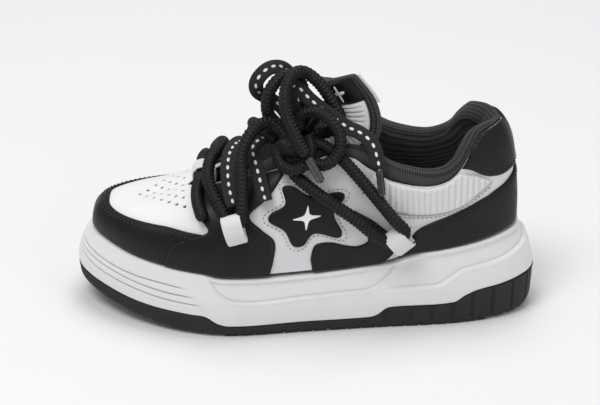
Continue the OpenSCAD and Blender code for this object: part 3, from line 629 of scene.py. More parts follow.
def woven(name, dark, light, warp=0.7, weft=0.55, rough=0.8, strength=0.6, sheen=0.2, shade=False):
    """Plain woven textile from the UV in centimetres."""
    s = Shader(name)
    parts = s.node("ShaderNodeSeparateXYZ", {"Vector": s.uv}).outputs
    x = s.math("MULTIPLY", parts[0], 10 * math.pi / warp)
    y = s.math("MULTIPLY", parts[1], 10 * math.pi / weft)
    a = s.math("ABSOLUTE", s.math("SINE", x))
    b = s.math("ABSOLUTE", s.math("SINE", y))
    check = s.math("MULTIPLY", s.math("SINE", x), s.math("SINE", y))
    over = s.remap(check, -0.15, 0.15)
    height = s.node("ShaderNodeMix", {0: over, 2: a, 3: b}).outputs[0]
    fuzz = s.noise(4200, 3)
    tone = s.blend(s.remap(height, 0.05, 0.8), dark, light)
    tone = s.blend(s.remap(fuzz, 0.3, 0.75, 0, 0.25), tone, dark)
    if shade:
        tone = s.blend(s.attribute("shade"), tone, grey(0.003))
    s.wire("Base Color", tone)
    s.wire("Roughness", s.remap(fuzz, 0.3, 0.7, rough - 0.05, rough + 0.08))
    s.wire("Normal", s.bump(s.math("ADD", height, s.math("MULTIPLY", fuzz, 0.3)), strength, 0.0002))
    s.wire("Sheen Weight", sheen)
    s.wire("Sheen Roughness", 0.45)
    s.wire("Specular IOR Level", 0.25)
    return s.mat


def rope_fibre(name):
    """Braided cord: the mesh carries the strands, this adds the filaments and painted shade in the gaps
    between them.
    """
    s = Shader(name)
    parts = s.node("ShaderNodeSeparateXYZ", {"Vector": s.uv}).outputs
    lean = s.math("ADD", s.math("MULTIPLY", parts[0], 70.0), s.math("MULTIPLY", parts[1], 30.0))
    filament = s.math("SINE", s.math("MULTIPLY", lean, math.pi))
    fuzz = s.noise(3600, 4)
    tone = s.blend(s.remap(fuzz, 0.3, 0.75), grey(0.0025), grey(0.012, (1, 1, 1.02)))
    # Painted shade: the shade attribute darkens the gaps between the strands.
    tone = s.blend(s.attribute("shade"), tone, grey(0.0015))
    s.wire("Base Color", tone)
    s.wire("Roughness", s.remap(fuzz, 0.3, 0.7, 0.34, 0.5))
    s.wire("Normal", s.bump(s.math("ADD", s.math("MULTIPLY", filament, 0.5), fuzz), 0.35, 0.00016))
    s.wire("Specular IOR Level", 0.3)
    return s.mat


def flat_weave(name):
    """Flat black lace: herringbone weave with a row of white oval marks along the middle."""
    s = Shader(name)
    parts = s.node("ShaderNodeSeparateXYZ", {"Vector": s.uv}).outputs
    pitch, half_long, half_wide = 5.6, 1.5, 0.85
    across = s.math("ABSOLUTE", s.math("SUBTRACT", parts[1], 0.45))
    along = s.math("MULTIPLY", parts[0], 10.0)
    slant = s.math("ADD", s.math("MULTIPLY", along, 6.5), s.math("MULTIPLY", across, 62.0))
    yarn = s.math("SINE", slant)
    fuzz = s.noise(4200, 3)
    place = s.math("SUBTRACT", s.math("FRACT", s.math("DIVIDE", along, pitch)), 0.5)
    dx = s.math("MULTIPLY", place, pitch / half_long)
    dy = s.math("MULTIPLY", across, 10 / half_wide)
    reach = s.math("ADD", s.math("MULTIPLY", dx, dx), s.math("MULTIPLY", dy, dy))
    mark = s.remap(reach, 1.15, 0.85)
    tone = s.blend(s.remap(yarn, -0.8, 0.9), grey(0.005), grey(0.02))
    s.wire("Base Color", s.blend(mark, tone, grey(0.8)))
    s.wire("Roughness", s.remap(fuzz, 0.3, 0.7, 0.68, 0.82))
    lift = s.math("ADD", s.math("MULTIPLY", yarn, 0.5), s.math("ADD", fuzz, s.math("MULTIPLY", mark, 0.8)))
    s.wire("Normal", s.bump(lift, 0.55, 0.00022))
    s.wire("Sheen Weight", 0.08)
    s.wire("Specular IOR Level", 0.35)
    return s.mat


def plastic(name, colour, rough, clear=0.0):
    s = Shader(name)
    scratch = s.noise(900, 5, 0.6, s.stretched(1, 1, 0.2))
    s.wire("Base Color", s.blend(s.remap(scratch, 0.4, 0.7, 0, 0.3), colour, grey(colour[0] * 1.4 + 0.01)))
    s.wire("Roughness", s.remap(scratch, 0.35, 0.7, rough, rough + 0.14))
    s.wire("Normal", s.bump(scratch, 0.08, 0.0001))
    s.wire("Coat Weight", 0.5)
    s.wire("Coat Roughness", 0.12)
    if clear:
        s.wire("Transmission Weight", clear)
    return s.mat


def plain_board(name, colour):
    s = Shader(name)
    fibre = s.noise(500, 6, 0.7, s.stretched(1, 3, 1))
    s.wire("Base Color", s.blend(fibre, tuple(c * 0.8 for c in colour[:3]) + (1,), colour))
    s.wire("Roughness", s.remap(fibre, 0.3, 0.7, 0.8, 0.95))
    s.wire("Normal", s.bump(fibre, 0.4, 0.0002))
    return s.mat


WHITE = (0.86, 0.865, 0.87, 1)
M = {
    "black": leather("black_leather", grey(0.0075, (1, 1, 1.03)), 0.4, 1250, 0.0001, 0.3, 0.12),
    "white": leather("white_leather", WHITE, 0.44, 1500, 0.00009, 0.3, 0.012),
    "vamp": leather("vamp_leather", WHITE, 0.44, 1500, 0.00009, 0.3, 0.012, holes=True),
    "pale": leather("pale_leather", (0.74, 0.755, 0.77, 1), 0.4, 1500, 0.00009, 0.28, 0.015, 0.08),
    "foam": moulded_foam("sole_foam", (0.8, 0.8, 0.8, 1)),
    "rubber": rubber("sole_rubber", grey(0.012)),
    "tread": rubber("tread_rubber", grey(0.02), 0.7, 1800),
    "knit": knit("collar_knit", grey(0.003), grey(0.07), 2.7, 0.85, 0.1),
    "tongue": knit("tongue_knit", grey(0.003), grey(0.07), 2.5, 0.85, 0.1),
    "sock": woven("sockliner_cloth", grey(0.01), grey(0.032), 0.8, 0.6, 0.9),
    "ribs": woven("ribbed_cloth", grey(0.72), grey(0.86), 0.5, 0.4, 0.75, 0.35),
    "web": woven("webbing", grey(0.66, (1, 1, 0.99)), grey(0.85), 1.0, 0.8, 0.7, 0.8, 0.25),
    "thread_black": woven("black_thread", grey(0.02), grey(0.075), 0.3, 0.3, 0.6),
    "thread_white": woven("white_thread", grey(0.26), grey(0.42), 0.3, 0.3, 0.6),
    "rope": rope_fibre("rope_fibre"),
    "flat": flat_weave("flat_lace_weave"),
    "print": plastic("white_print", grey(0.84), 0.4),
    "clear": plastic("clear_tip", grey(0.06), 0.12, 0.35),
    "tip": plastic("black_tip", grey(0.012), 0.25),
    "board": plain_board("insole_fibre", (0.55, 0.42, 0.28, 1)),
    "core": plain_board("core_foam", (0.7, 0.7, 0.66, 1)),
    "stiff": plain_board("stiffener_sheet", (0.05, 0.05, 0.05, 1)),
}

LOOK = {"black_leather": "black", "white_leather": "white", "pale_leather": "pale",
        "ribbed_fabric": "ribs", "badge_print": "print"}

# ---------------------------------------------------------------- camera
AIM = Vector((0, 0, 0.05))
ELEVATION = math.radians(28)
REACH = 1.3
LENS_MM, SENSOR_MM, SHIFT = 124.3, 36, (-0.0088, 0.0372)
camera = bpy.data.objects.new("camera", bpy.data.cameras.new("camera"))
bpy.context.scene.collection.objects.link(camera)
camera.location = AIM + REACH * Vector((0, -math.cos(ELEVATION), math.sin(ELEVATION)))
camera.rotation_euler = (AIM - camera.location).to_track_quat("-Z", "Y").to_euler()
camera.data.lens = LENS_MM
camera.data.sensor_width = SENSOR_MM
camera.data.shift_x, camera.data.shift_y = SHIFT
bpy.context.scene.camera = camera

# ---------------------------------------------------------------- laces
ROPE_D, FLAT_W, FLAT_T = 7.6, 9.0, 2.2
HELD_ROPES = {
    "rope_front": [[-62, 29, 86], [-64, 14, 89], [-64, 1, 86], [-65, -12, 88], [-66, -23, 85], [-65, -33, 82],
        [-62, -43, 77]],
    "rope_cross": [[-32, 46, 83], [-35, 46, 78], [-43, 46, 74], [-50, 47, 73], [-56, 46, 76], [-57, 40, 84],
        [-53, 28, 94], [-51, 12, 101], [-54, -3, 103], [-58, -15, 102], [-59, -26, 96],
        [-55, -35, 88], [-50, -42, 81], [-47, -48, 76], [-43, -49, 74], [-39, -48, 78],
        [-38, -44, 89], [-38, -38, 102], [-38, -31, 115], [-32, -24, 126], [-23, -17, 129],
        [-15, -18, 124], [-11, -21, 119]],
    "rope_arch": [[-31, 46, 84], [-29, 42, 93], [-30, 34, 102], [-32, 22, 110], [-31, 6, 117], [-25, -6, 119],
        [-17, -15, 116]],
    "rope_rear": [[4, -24, 119], [11, -27, 118], [21, -33, 113], [32, -39, 103], [43, -44, 91], [53, -47, 79],
        [60, -46, 70], [57, -45, 64], [51, -45, 62], [42, -47, 68], [29, -48, 80], [13, -44, 90],
        [0, -38, 98], [-8, -32, 103]],
    "rope_far": [[-1, -14, 120], [6, 1, 124], [14, 18, 124], [22, 34, 118], [33, 42, 106], [44, 45, 92],
        [53, 45, 79], [60, 44, 70], [57, 43, 64], [51, 43, 62], [42, 45, 68], [28, 47, 81],
        [12, 44, 93], [-2, 34, 105], [-10, 16, 115], [-10, -2, 118], [-9, -13, 118]],
    "knot_wrap": [[-17, -22, 114], [-15, -31, 109], [-8, -37, 107], [0, -36, 110], [4, -29, 117],
        [2, -22, 122]],
}
HELD_FLATS = {
    "flat_cross": [[-38, 10, 103], [-42, 0, 107], [-46, -12, 106], [-47, -23, 101], [-46, -33, 93],
        [-43, -42, 85]],
    "flat_rear": [[-20, -2, 113], [-27, -9, 114], [-32, -17, 112], [-30, -26, 106], [-27, -34, 97],
        [-24, -41, 88]],
}
FREE_ROPES = {
    "bow_back": [[-3, -17, 124], [-3, -17, 133], [5, -21, 138], [14, -27, 136], [20, -31, 129],
        [21, -34, 121], [17, -37, 114], [10, -37, 110], [3, -32, 111]],
    "bow_top": [[-8, -15, 122], [-16, -10, 124], [-22, -11, 131], [-23, -12, 140], [-21, -12, 148],
        [-15, -10, 155], [-7, -5, 155], [-2, -1, 146], [0, -3, 135], [-3, -11, 125]],
    "rope_end": [[5, -15, 120], [15, -14, 122], [21, -15, 130], [16, -13, 141], [8, -10, 152], [-1, -10, 159],
        [-8, -16, 159], [-12, -24, 151], [-11, -30, 140], [-7, -34, 131], [-3, -37, 123], [1, -40, 118]],
}
FREE_FLATS = {
    "flat_bow": [[-1, -4, 124], [-4, 7, 134], [-8, 10, 146], [-14, 6, 155], [-22, 0, 157], [-29, -4, 151],
        [-29, -3, 143], [-22, 2, 136], [-14, 2, 130], [-9, -5, 124]],
    "flat_end": [[-3, -17, 124], [-8, -14, 133], [-11, -12, 143], [-8, -13, 151], [-3, -13, 149],
        [2, -15, 144], [9, -18, 139], [17, -21, 134], [25, -24, 129], [33, -28, 127],
        [40, -32, 122], [43, -36, 114], [44, -38, 110]],
}
ROPE_TIP = [[1.6, -40.4, 117], [5, -43, 111], [10, -46, 103]]
FLAT_TIP = [[44.2, -39.2, 109], [45, -43, 102], [46, -47, 94]]
OUT = np.array([0, -0.75, 0.66])
BRAID_TURN, BRAID_YARNS = 15.0, 6


def lace_frame(line, step):
    """Evenly spaced centres along a lace with its side and outward vectors and distances."""
    fine = curve(line, np.linspace(0, 1, 1200))
    run = run_of(fine)
    at = np.linspace(0, run[-1], int(run[-1] / step) + 1)
    p = points_at(at, run, fine)
    kernel = np.ones(9) / 9
    pad = np.concatenate([np.repeat(p[:1], 4, 0), p, np.repeat(p[-1:], 4, 0)])
    soft = np.stack([np.convolve(pad[:, q], kernel, "valid") for q in range(3)], 1)
    soft[0], soft[-1] = p[0], p[-1]
    d = unit(np.gradient(soft, axis=0))
    out = unit(OUT - (d @ OUT)[:, None] * d)
    return soft, np.cross(d, out), out, at


def caps_of(rows, cols):
    """Fan faces that close both ends of a tube whose end centres are the last two points."""
    j = np.arange(cols)
    k = (j + 1) % cols
    first, last = rows * cols, rows * cols + 1
    return np.concatenate([np.stack([np.full(cols, first), k, j], 1),
                           np.stack([np.full(cols, last), (rows - 1) * cols + j, (rows - 1) * cols + k], 1)])


def around_line(p, side, out, x, y):
    """Rings of points round a line, from their distances sideways (x) and outwards (y)."""
    return p[:, None, :] + x[..., None] * side[:, None, :] + y[..., None] * out[:, None, :]


def tube(name, rings, ends, uv, mat, shade=None, end_uv=((0, 0), (0, 0)), end_shade=0.0, flip=True):
    """Mesh through a stack of rings, closed by a fan of faces at each end."""
    n, m = rings.shape[:2]
    points = np.concatenate([rings.reshape(-1, 3), np.reshape(ends, (2, 3))])
    quads, tris = grid_faces(n, m, wrap_cols=True), caps_of(n, m)
    if flip:
        quads, tris = quads[:, ::-1], tris[:, ::-1]
    if uv is not None:
        uv = np.concatenate([np.reshape(uv, (-1, 2)), end_uv])
    if shade is not None:
        shade = np.concatenate([np.ravel(shade), [end_shade, end_shade]])
    return build(name, points, quads, tris, uv, shade, mat)


def rope(name, line):
    """Round braided cord: ribbons of yarn that wind both ways and pass over and under each other."""
    p, side, out, at = lace_frame(line, 0.42)
    a = circle(48)
    lay = 2 * np.pi / BRAID_TURN
    left = BRAID_YARNS * (a[None, :] + lay * at[:, None]) / (2 * np.pi)
    right = BRAID_YARNS * (a[None, :] - lay * at[:, None]) / (2 * np.pi)
    wave_l = np.abs(np.sin(np.pi * left)) ** 0.8
    wave_r = np.abs(np.sin(np.pi * right)) ** 0.8
    over = 0.5 + 0.5 * np.tanh(4 * np.sin(np.pi * (left + right)) * np.ones_like(left))
    lift = np.maximum(wave_l * (0.45 + 0.55 * over), wave_r * (0.45 + 0.55 * (1 - over)))
    gap = 1 - lift
    wobble = 1 + 0.02 * noise2(at[:, None] / 11, a[None, :] * 0 + len(name), 3, 2)
    end = clamp(np.minimum(at, at[-1] - at) / 1.5)[:, None]
    radius = (ROPE_D / 2) * wobble * (0.77 + 0.28 * lift) * (0.75 + 0.25 * np.sqrt(clamp(end, 0.02, 1)))
    rings = around_line(p, side, out, radius * np.cos(a), radius * np.sin(a))
    uv = np.stack(np.meshgrid(at, a * ROPE_D / 2, indexing="ij"), -1)
    # Painted shade in the gaps between the strands; the centre of each end cap gets a little too.
    shade = clamp((gap - 0.24) * 2.2)
    return tube(name, rings, p[[0, -1]], uv, M["rope"], shade, end_shade=0.3)


def flat(name, line):
    """Flat woven lace with soft rounded edges and a slight ripple across."""
    p, side, out, at = lace_frame(line, 0.6)
    a = circle(28)
    x = np.sign(np.cos(a)) * np.abs(np.cos(a)) ** 0.55 * FLAT_W / 2
    y = np.sign(np.sin(a)) * np.abs(np.sin(a)) ** 0.75 * FLAT_T / 2
    ripple = 0.12 * np.sin(at[:, None] * 2 * np.pi / 1.5) * (np.abs(y)[None, :] > 0.5)
    cup = 0.35 * np.sin(at / 9 + len(name))[:, None] * (x[None, :] / FLAT_W * 2) ** 2
    height = y[None, :] * (1 + 0.05 * ripple) + cup
    rings = around_line(p, side, out, np.broadcast_to(x, height.shape), height)
    uv = np.stack(np.meshgrid(at, x + FLAT_W / 2, indexing="ij"), -1)
    return tube(name, rings, p[[0, -1]], uv, M["flat"], end_uv=((0, FLAT_W / 2), (at[-1], FLAT_W / 2)))


def tip(name, line, radius, mat, squeeze=1.0):
    """Moulded lace tip: a short sleeve with a crimped waist and rounded ends."""
    p, side, out, at = lace_frame(line, 0.5)
    a = circle(24)
    waist = 0.93 + 0.07 * np.cos(4 * np.pi * at / at[-1]) ** 2
    rounding = np.sqrt(clamp(np.minimum(at, at[-1] - at) / 1.2, 0.15, 1))
    body = (radius * waist * rounding)[:, None]
    rings = around_line(p, side, out, body * np.cos(a), squeeze * body * np.sin(a))
    uv = np.stack(np.meshgrid(at, a, indexing="ij"), -1)
    return tube(name, rings, p[[0, -1]], uv, mat)


def length_of(line):
    """Length of a lace line in metres."""
    return float(run_of(curve(line, np.linspace(0, 1, 1200)))[-1]) * MM


def metres(point):
    return tuple(float(c) * MM for c in point)


def route(line):
    return [metres(q) for q in lace_frame(line, 0.6)[0]]


for lace_name, lace_line in HELD_ROPES.items():
    settle(rope("seen_" + lace_name, lace_line), [lace_name])
for lace_name, lace_line in HELD_FLATS.items():
    settle(flat("seen_" + lace_name, lace_line), [lace_name])

rope_tip = settle(tip("seen_rope_tip", ROPE_TIP, 2.8, M["clear"]), ["rope_tip"])
flat_tip = settle(tip("seen_flat_tip", FLAT_TIP, 2.4, M["tip"], 0.7), ["flat_tip"])
for lines, make, slot, across, tipped, tip_piece in (
        (FREE_ROPES, rope, "rope_lace", ROPE_D, "rope_end", rope_tip),
        (FREE_FLATS, flat, "flat_lace", FLAT_W, "flat_end", flat_tip)):
    for lace_name, lace_line in lines.items():
        lace = settle(make("seen_" + lace_name, lace_line), [lace_name])
        length_of(lace_line)
        route(lace_line)


# ---------------------------------------------------------------- base leather of the upper
def both(points):
    """The same edge carried on round the heel to the other side."""
    return points + [[360 - u, v] for u, v in points[-2::-1]]


def hole_places():
    """Centres (x, y) of the punched holes over the toes: a staggered rounded triangle."""
    places = []
    rows = [(-103, 0), (-94, 1), (-85, 2), (-76, 3)]
    for row, (x, wide) in enumerate(rows):
        for k in range(-wide, wide + 1):
            places.append((x + 0.45 * abs(k) ** 1.6, 3 + 8.8 * k))
        if row:
            for k in range(-wide, wide):
                places.append((x - 4.5 + 0.45 * abs(k + 0.5) ** 1.6, 3 + 8.8 * (k + 0.5)))
    return np.array(places)


def merge_twins(obj, distance=2e-6):
    """Join points that lie on each other."""
    bm = bmesh.new()
    bm.from_mesh(obj.data)
    bmesh.ops.remove_doubles(bm, verts=bm.verts, dist=distance)
    bm.to_mesh(obj.data)
    bm.free()


def toe_cover():
    """White leather over the toes with its punched holes, one sheet from side to side."""
    us = np.linspace(-66, 66, 353)
    vs = np.concatenate([np.linspace(0.02, 0.36, 12), np.linspace(0.37, 1.0, 150)])
    u, v = np.meshgrid(us, vs, indexing="ij")
    p = base(u, v)
    top = smooth_step(0.3, 0.5, v)
    height = 1.2 + 0.10 * top * noise2(p[..., 0] / 10, p[..., 1] / 10, 11)
    height = height + 0.22 * top * bell(p[..., 0] + 66, 7) * np.sin(p[..., 0] / 1.6 + p[..., 1] / 30)
    near = np.full(u.shape, 99.0)
    for x, y in hole_places():
        near = np.minimum(near, np.hypot(p[..., 0] - x, p[..., 1] - y))
    near = np.where(p[..., 2] > 60, near, 99.0)
    height = height - 0.95 * smooth_step(1.2, 0.85, near) + 0.07 * bell(near - 1.35, 0.35)
    shade = smooth_step(1.1, 0.85, near)
    front = skin(u, v, height)
    back = skin(u, v, np.zeros_like(u))
    uv = np.stack([u * 2.4, v * 80], -1)
    obj = closed_sheet("seen_vamp", front, back, uv, M["vamp"], shade)
    merge_twins(obj)
    return settle(obj, ["vamp"])


BASE_SHEET = dict(top=BASE_T, under=0.05, step=1.8, wrinkle=0.12, soft=0.5)
toe_cover()
QUARTER_LOW = [[u, 0.02] for u in (65, 80, 95, 105, 117)]
QUARTER_HIGH = [[65, 0.97], [80, 0.97], [95, 0.96], [105, 0.86], [117, 0.85]]
REAR_LOW = [[u, 0.02] for u in (117.1, 130, 145, 160, 180)]
REAR_HIGH = [[117.1, 0.85], [128, 0.88], [138, 0.935], [158, 0.945], [180, 0.945]]
SIDES = (("outer", 1), ("inner", -1))
for word, side in SIDES:
    sewn(word + "_quarter", QUARTER_LOW, QUARTER_HIGH, "pale_leather", side, **BASE_SHEET)
sewn("rear_quarter", both(REAR_LOW), both(REAR_HIGH), "white_leather", **BASE_SHEET)

# ---------------------------------------------------------------- overlays
TOE_LOW = [[u, 0.01] for u in range(-51, 52, 17)]
TOE_HIGH = [[-63, 0.35], [-48, 0.43], [-28, 0.47], [0, 0.57], [28, 0.47], [48, 0.43], [63, 0.35]]
STAY_FRONT = [[52.2, 0.01], [57, 0.16], [61, 0.27], [65, 0.36], [62.5, 0.5], [60.5, 0.7], [60, 0.95]]
STAY_BACK = [[81.5, 0.01], [82.5, 0.13], [82.5, 0.27], [79, 0.38], [75.5, 0.52], [80, 0.68], [83, 0.95]]
BAND_OUT = [[92, 0.01], [97, 0.01], [101, 0.01], [105, 0.01], [108, 0.01], [110.5, 0.02], [112.5, 0.08],
            [113, 0.16], [112, 0.27], [107.5, 0.39], [102, 0.46]]
BAND_IN = [[91.5, 0.1], [92.5, 0.2], [96, 0.21], [100, 0.18], [103, 0.17], [105.5, 0.2], [105.7, 0.24],
           [104.8, 0.29], [103, 0.33], [100.5, 0.38], [98.5, 0.42]]
STAR_RIM = [[85.2, 0.73], [82.8, 0.73], [84.2, 0.57], [81, 0.51], [80.7, 0.44], [84.8, 0.34], [87, 0.22],
            [89.6, 0.21], [92.2, 0.29], [98, 0.24], [99, 0.29], [96.8, 0.42], [99, 0.55], [97.6, 0.6],
            [90.5, 0.6]]
STAR_MIDDLE = [90, 0.44]
MARK_RIM = [[90, 0.53], [89.2, 0.455], [86.5, 0.43], [89.2, 0.405], [90, 0.33], [90.8, 0.405], [93.5, 0.43],
            [90.8, 0.455]]
MARK_MIDDLE = [90, 0.43]
RIB_PITCH, RIB_DEPTH = 3.6, 1.5
RIB_LOW = [[105.5, 0.72], [110, 0.57], [116, 0.5], [122, 0.485], [128, 0.475], [134, 0.475], [139, 0.48],
           [143.5, 0.475], [147, 0.46]]
RIB_HIGH = [[106, 0.83], [109, 0.85], [113, 0.845], [117, 0.84], [121, 0.84], [125, 0.86], [129, 0.885],
            [132, 0.91], [134, 0.92]]
STRIP_LOW = [[113, 0.36], [118.5, 0.34], [123, 0.41], [129, 0.44], [135, 0.45], [141, 0.43], [147, 0.4]]
STRIP_HIGH = [[109.5, 0.545], [115, 0.485], [121, 0.465], [128, 0.458], [135, 0.462], [142, 0.458],
              [148, 0.44]]
HEEL_LOW = [[u, 0.01] for u in (114, 120, 126, 132, 138, 144, 151, 160, 170, 180)]
HEEL_HIGH = [[118.5, 0.27], [121, 0.33], [124.5, 0.375], [129, 0.4], [134, 0.41], [140, 0.39],
             [146, 0.355], [154, 0.345], [167, 0.37], [180, 0.38]]
TAB_LOW = [[139.5, 0.8], [143, 0.63], [148, 0.49], [155, 0.43], [166, 0.42], [180, 0.425]]
TAB_HIGH = [[136, 0.93], [141, 0.94], [147, 0.945], [155, 0.945], [166, 0.945], [180, 0.945]]


def island(node, middle, rim, slot, side, top, under, rings, around, puff=0.0, soft=0.9):
    """A panel with a closed outline, built as rings from its rim to its middle."""
    k = np.linspace(0, 1, around, endpoint=False)
    outline_points = curve(rim, k, True)
    outline_points = outline_points if side > 0 else outline_points[::-1]
    rim3 = base(outline_points[:, 0], outline_points[:, 1])
    centre3 = base(np.array(float(middle[0])), np.array(float(middle[1])))
    reach = np.linalg.norm(rim3 - centre3, axis=1)
    typical = reach.mean()
    near_rim = np.array(RIM) / typical
    inner = np.linspace(near_rim[-1], 1, rings + 1)[1:-1]
    f = np.concatenate([near_rim, inner])
    uu = mix(outline_points[None, :, 0], middle[0], f[:, None])
    vv = mix(outline_points[None, :, 1], middle[1], f[:, None])
    p = base(uu, vv)
    s = np.full(uu.shape, 99.0)
    for start in range(0, around, 60):
        part = rim3[start:start + 60]
        s = np.minimum(s, np.linalg.norm(p[:, :, None, :] - part[None, None], axis=-1).min(axis=2))
    height = 1.2 + (top - 1.2) * rounded(s, soft) + puff * (1 - np.exp(-s / 5))
    mid_height = height[-1].mean()
    front = skin(uu * side, vv, height)
    centre = skin(np.array([middle[0] * side]), np.array([middle[1]]), np.array([mid_height]))
    floor = skin(uu * side, vv, np.full(uu.shape, under))
    floor_centre = skin(np.array([middle[0] * side]), np.array([middle[1]]), np.array([under]))
    n, m = uu.shape
    points = np.concatenate([front.reshape(-1, 3), floor.reshape(-1, 3), centre, floor_centre])
    quads = [grid_faces(n, m, wrap_cols=True), grid_faces(n, m, wrap_cols=True, first=n * m)[:, ::-1]]
    j = np.arange(m)
    k2 = (j + 1) % m
    quads.append(np.stack([j, n * m + j, n * m + k2, k2], 1))
    r = (n - 1) * m
    tris = np.concatenate([np.stack([r + j, r + k2, np.full(m, 2 * n * m)], 1),
                           np.stack([n * m + r + k2, n * m + r + j, np.full(m, 2 * n * m + 1)], 1)])
    uv = np.concatenate([np.stack([uu * 2.4, vv * 80], -1).reshape(-1, 2)] * 2
                        + [[[middle[0] * 2.4, middle[1] * 80]]] * 2)
    quads = np.concatenate(quads)
    if faces_inwards(front):
        quads, tris = quads[:, ::-1], tris[:, ::-1]
    obj = build("seen_" + node, points, quads, tris, uv, None, M[LOOK[slot]])
    return settle(obj, [node])


def faces_inwards(front):
    """True if the ring order makes the front faces look inwards."""
    a = front[1] - front[0]
    b = np.roll(front[0], -1, axis=0) - front[0]
    normal = np.cross(b, a).mean(axis=0)
    middle = front.reshape(-1, 3).mean(axis=0)
    away = np.array([0, np.sign(middle[1]), 0.3])
    return float(normal @ away) < 0


def upright_ribs(g):
    """Upright ribs that fade out at the edges of the panel."""
    s = np.minimum(np.minimum(g["low"], g["high"]), g["ends"])
    x = base(g["u"], g["v"])[..., 0]
    wave = np.abs(np.sin(np.pi * x / RIB_PITCH)) ** 0.65
    return RIB_DEPTH * (wave - 0.5) * smooth_step(0.3, 2.0, s)


sewn("toe_cap", TOE_LOW, TOE_HIGH, "black_leather", top=2.75, puff=0.35,
     dents=[("high", 2.2), ("high", 4.4)], wrinkle=0.16, step=1.5)
sewn("heel_overlay", both(HEEL_LOW), both(HEEL_HIGH), "black_leather", top=2.8, puff=0.25,
     dents=[("high", 2.2), ("high", 4.2)], wrinkle=0.12, step=1.5)


def pressed_dots(g):
    """A pair of round marks pressed into each side of the heel tab."""
    away = np.abs(180 - g["u"])
    first = np.hypot(away - 26, (g["v"] - 0.73) * 50)
    second = np.hypot(away - 17, (g["v"] - 0.76) * 50)
    return -0.55 * smooth_step(3.2, 2.4, first) - 0.45 * smooth_step(2.4, 1.8, second)


sewn("heel_tab", both(TAB_LOW), both(TAB_HIGH), "black_leather", top=2.8, puff=0.9,
     dents=[("low", 2.2)], wrinkle=0.2, step=1.5)
STAY_SEEN = [[51.6, 0.01], [52.3, 0.1], [54, 0.2], [57.5, 0.28], [63, 0.345], [64.6, 0.4], [62.5, 0.5],
             [60.5, 0.7], [60, 0.95]]


def over_toe(g):
    """The front of the stay lies on top of the end of the toe cap."""
    return 0.85 * smooth_step(66, 61, g["u"])


for word, side in SIDES:
    sewn(word + "_front_stay", STAY_BACK, STAY_SEEN, "black_leather", side, top=2.9, puff=0.15,
         dents=[("low", 2.0), ("high", 2.0)], wrinkle=0.12, step=1.4, shape=over_toe)
    sewn(word + "_rear_overlay", BAND_OUT, BAND_IN, "black_leather", side, top=2.8, puff=0.1,
         wrinkle=0.08, step=1.4)
    island(word + "_star", STAR_MIDDLE, STAR_RIM, "black_leather", side, 2.75, 0.9, 16, 240, 0.3)
    island(word + "_badge", MARK_MIDDLE, MARK_RIM, "badge_print", side, 3.75, 2.6, 8, 96, 0, 0.3)
    sewn(word + "_rib_panel", RIB_LOW, RIB_HIGH, "ribbed_fabric", side, top=3.3, puff=0.5,
         step=0.6, shape=upright_ribs, soft=1.2)
    sewn(word + "_collar_strip", STRIP_LOW, STRIP_HIGH, "pale_leather", side, top=2.4, puff=0.1,
         dents=[("high", 1.8)], step=1.5)

# ---------------------------------------------------------------- stitching
rows = [edge_path(TOE_LOW, TOE_HIGH, 1, "high", inset, 3.0, start=0.02, stop=0.98) for inset in (2.2, 4.4)]
rows += [edge_path(both(HEEL_LOW), both(HEEL_HIGH), 1, "high", inset, 3.0, start=0.02, stop=0.98)
         for inset in (2.2, 4.2)]
rows += [edge_path(both(TAB_LOW), both(TAB_HIGH), 1, "low", 2.2, 3.3, start=0.03, stop=0.97)]
for word, side in SIDES:
    rows.append(edge_path(STAY_BACK, STAY_FRONT, side, "low", 2.0, 3.0, start=0.02, stop=0.9))
    rows.append(edge_path(STAY_BACK, STAY_SEEN, side, "high", 2.0, 3.6, start=0.02, stop=0.4))
    rows.append(edge_path(BAND_OUT, BAND_IN, side, "low", 2.0, 2.9, start=0.45, stop=0.97))
settle(stitches("black_stitching", rows, M["thread_black"], 2.1, 1.0, 0.36))
pale_rows = []
for word, side in SIDES:
    grown = [[STAR_MIDDLE[0] + (u - STAR_MIDDLE[0]) * 1.13, STAR_MIDDLE[1] + (v - STAR_MIDDLE[1]) * 1.13]
             for u, v in STAR_RIM]
    pale_rows.append(free_path(grown, side, 1.28, True))
    pale_rows.append(edge_path(STRIP_LOW, STRIP_HIGH, side, "high", 1.8, 2.6, start=0.05, stop=0.95))
    pale_rows.append(free_path([[98, 0.93], [101, 0.8], [103, 0.68], [104, 0.58]], side, 1.28))
    pale_rows.append(edge_path(RIB_LOW, RIB_HIGH, side, "low", -1.6, 1.5, start=0.1, stop=0.95))
settle(stitches("pale_stitching", pale_rows, M["thread_white"], 1.7, 1.0, 0.27))


# ---------------------------------------------------------------- sole
def around_ring(us, grow, z, k=1.0):
    """A ring parallel to the sole's outline at height z, shrunk by k."""
    x, y = outline(us, grow)
    return np.stack([x * k, y * k, np.broadcast_to(z, x.shape)], -1)


def ring_stack(name, rings, first, last, mat, shade=None):
    """Closed solid through rings that lie one over the other."""
    rings = np.asarray(rings)
    n, m = rings.shape[:2]
    points = np.concatenate([rings.reshape(-1, 3), [first], [last]])
    j = np.arange(m)
    k = (j + 1) % m
    tris = np.concatenate([np.stack([np.full(m, n * m), k, j], 1),
                           np.stack([np.full(m, n * m + 1), (n - 1) * m + j, (n - 1) * m + k], 1)])
    around = run_of(rings[n // 2])
    up = np.concatenate([[0], np.cumsum(np.linalg.norm(np.diff(rings, axis=0), axis=-1).mean(axis=1))])
    uv = np.stack(np.meshgrid(up, around, indexing="ij")[::-1], -1).reshape(-1, 2)
    uv = np.concatenate([uv, [[0, 0], [0, 0]]])
    if shade is not None:
        shade = np.concatenate([np.asarray(shade).ravel(), [0, 0]])
    return build(name, points, grid_faces(n, m, wrap_cols=True), tris, uv, shade, mat)


def pad_room(x):
    """Room left under the outsole for the tread pads."""
    return 2.1 * clamp((x + 80) / 30) * clamp((140 - x) / 26)


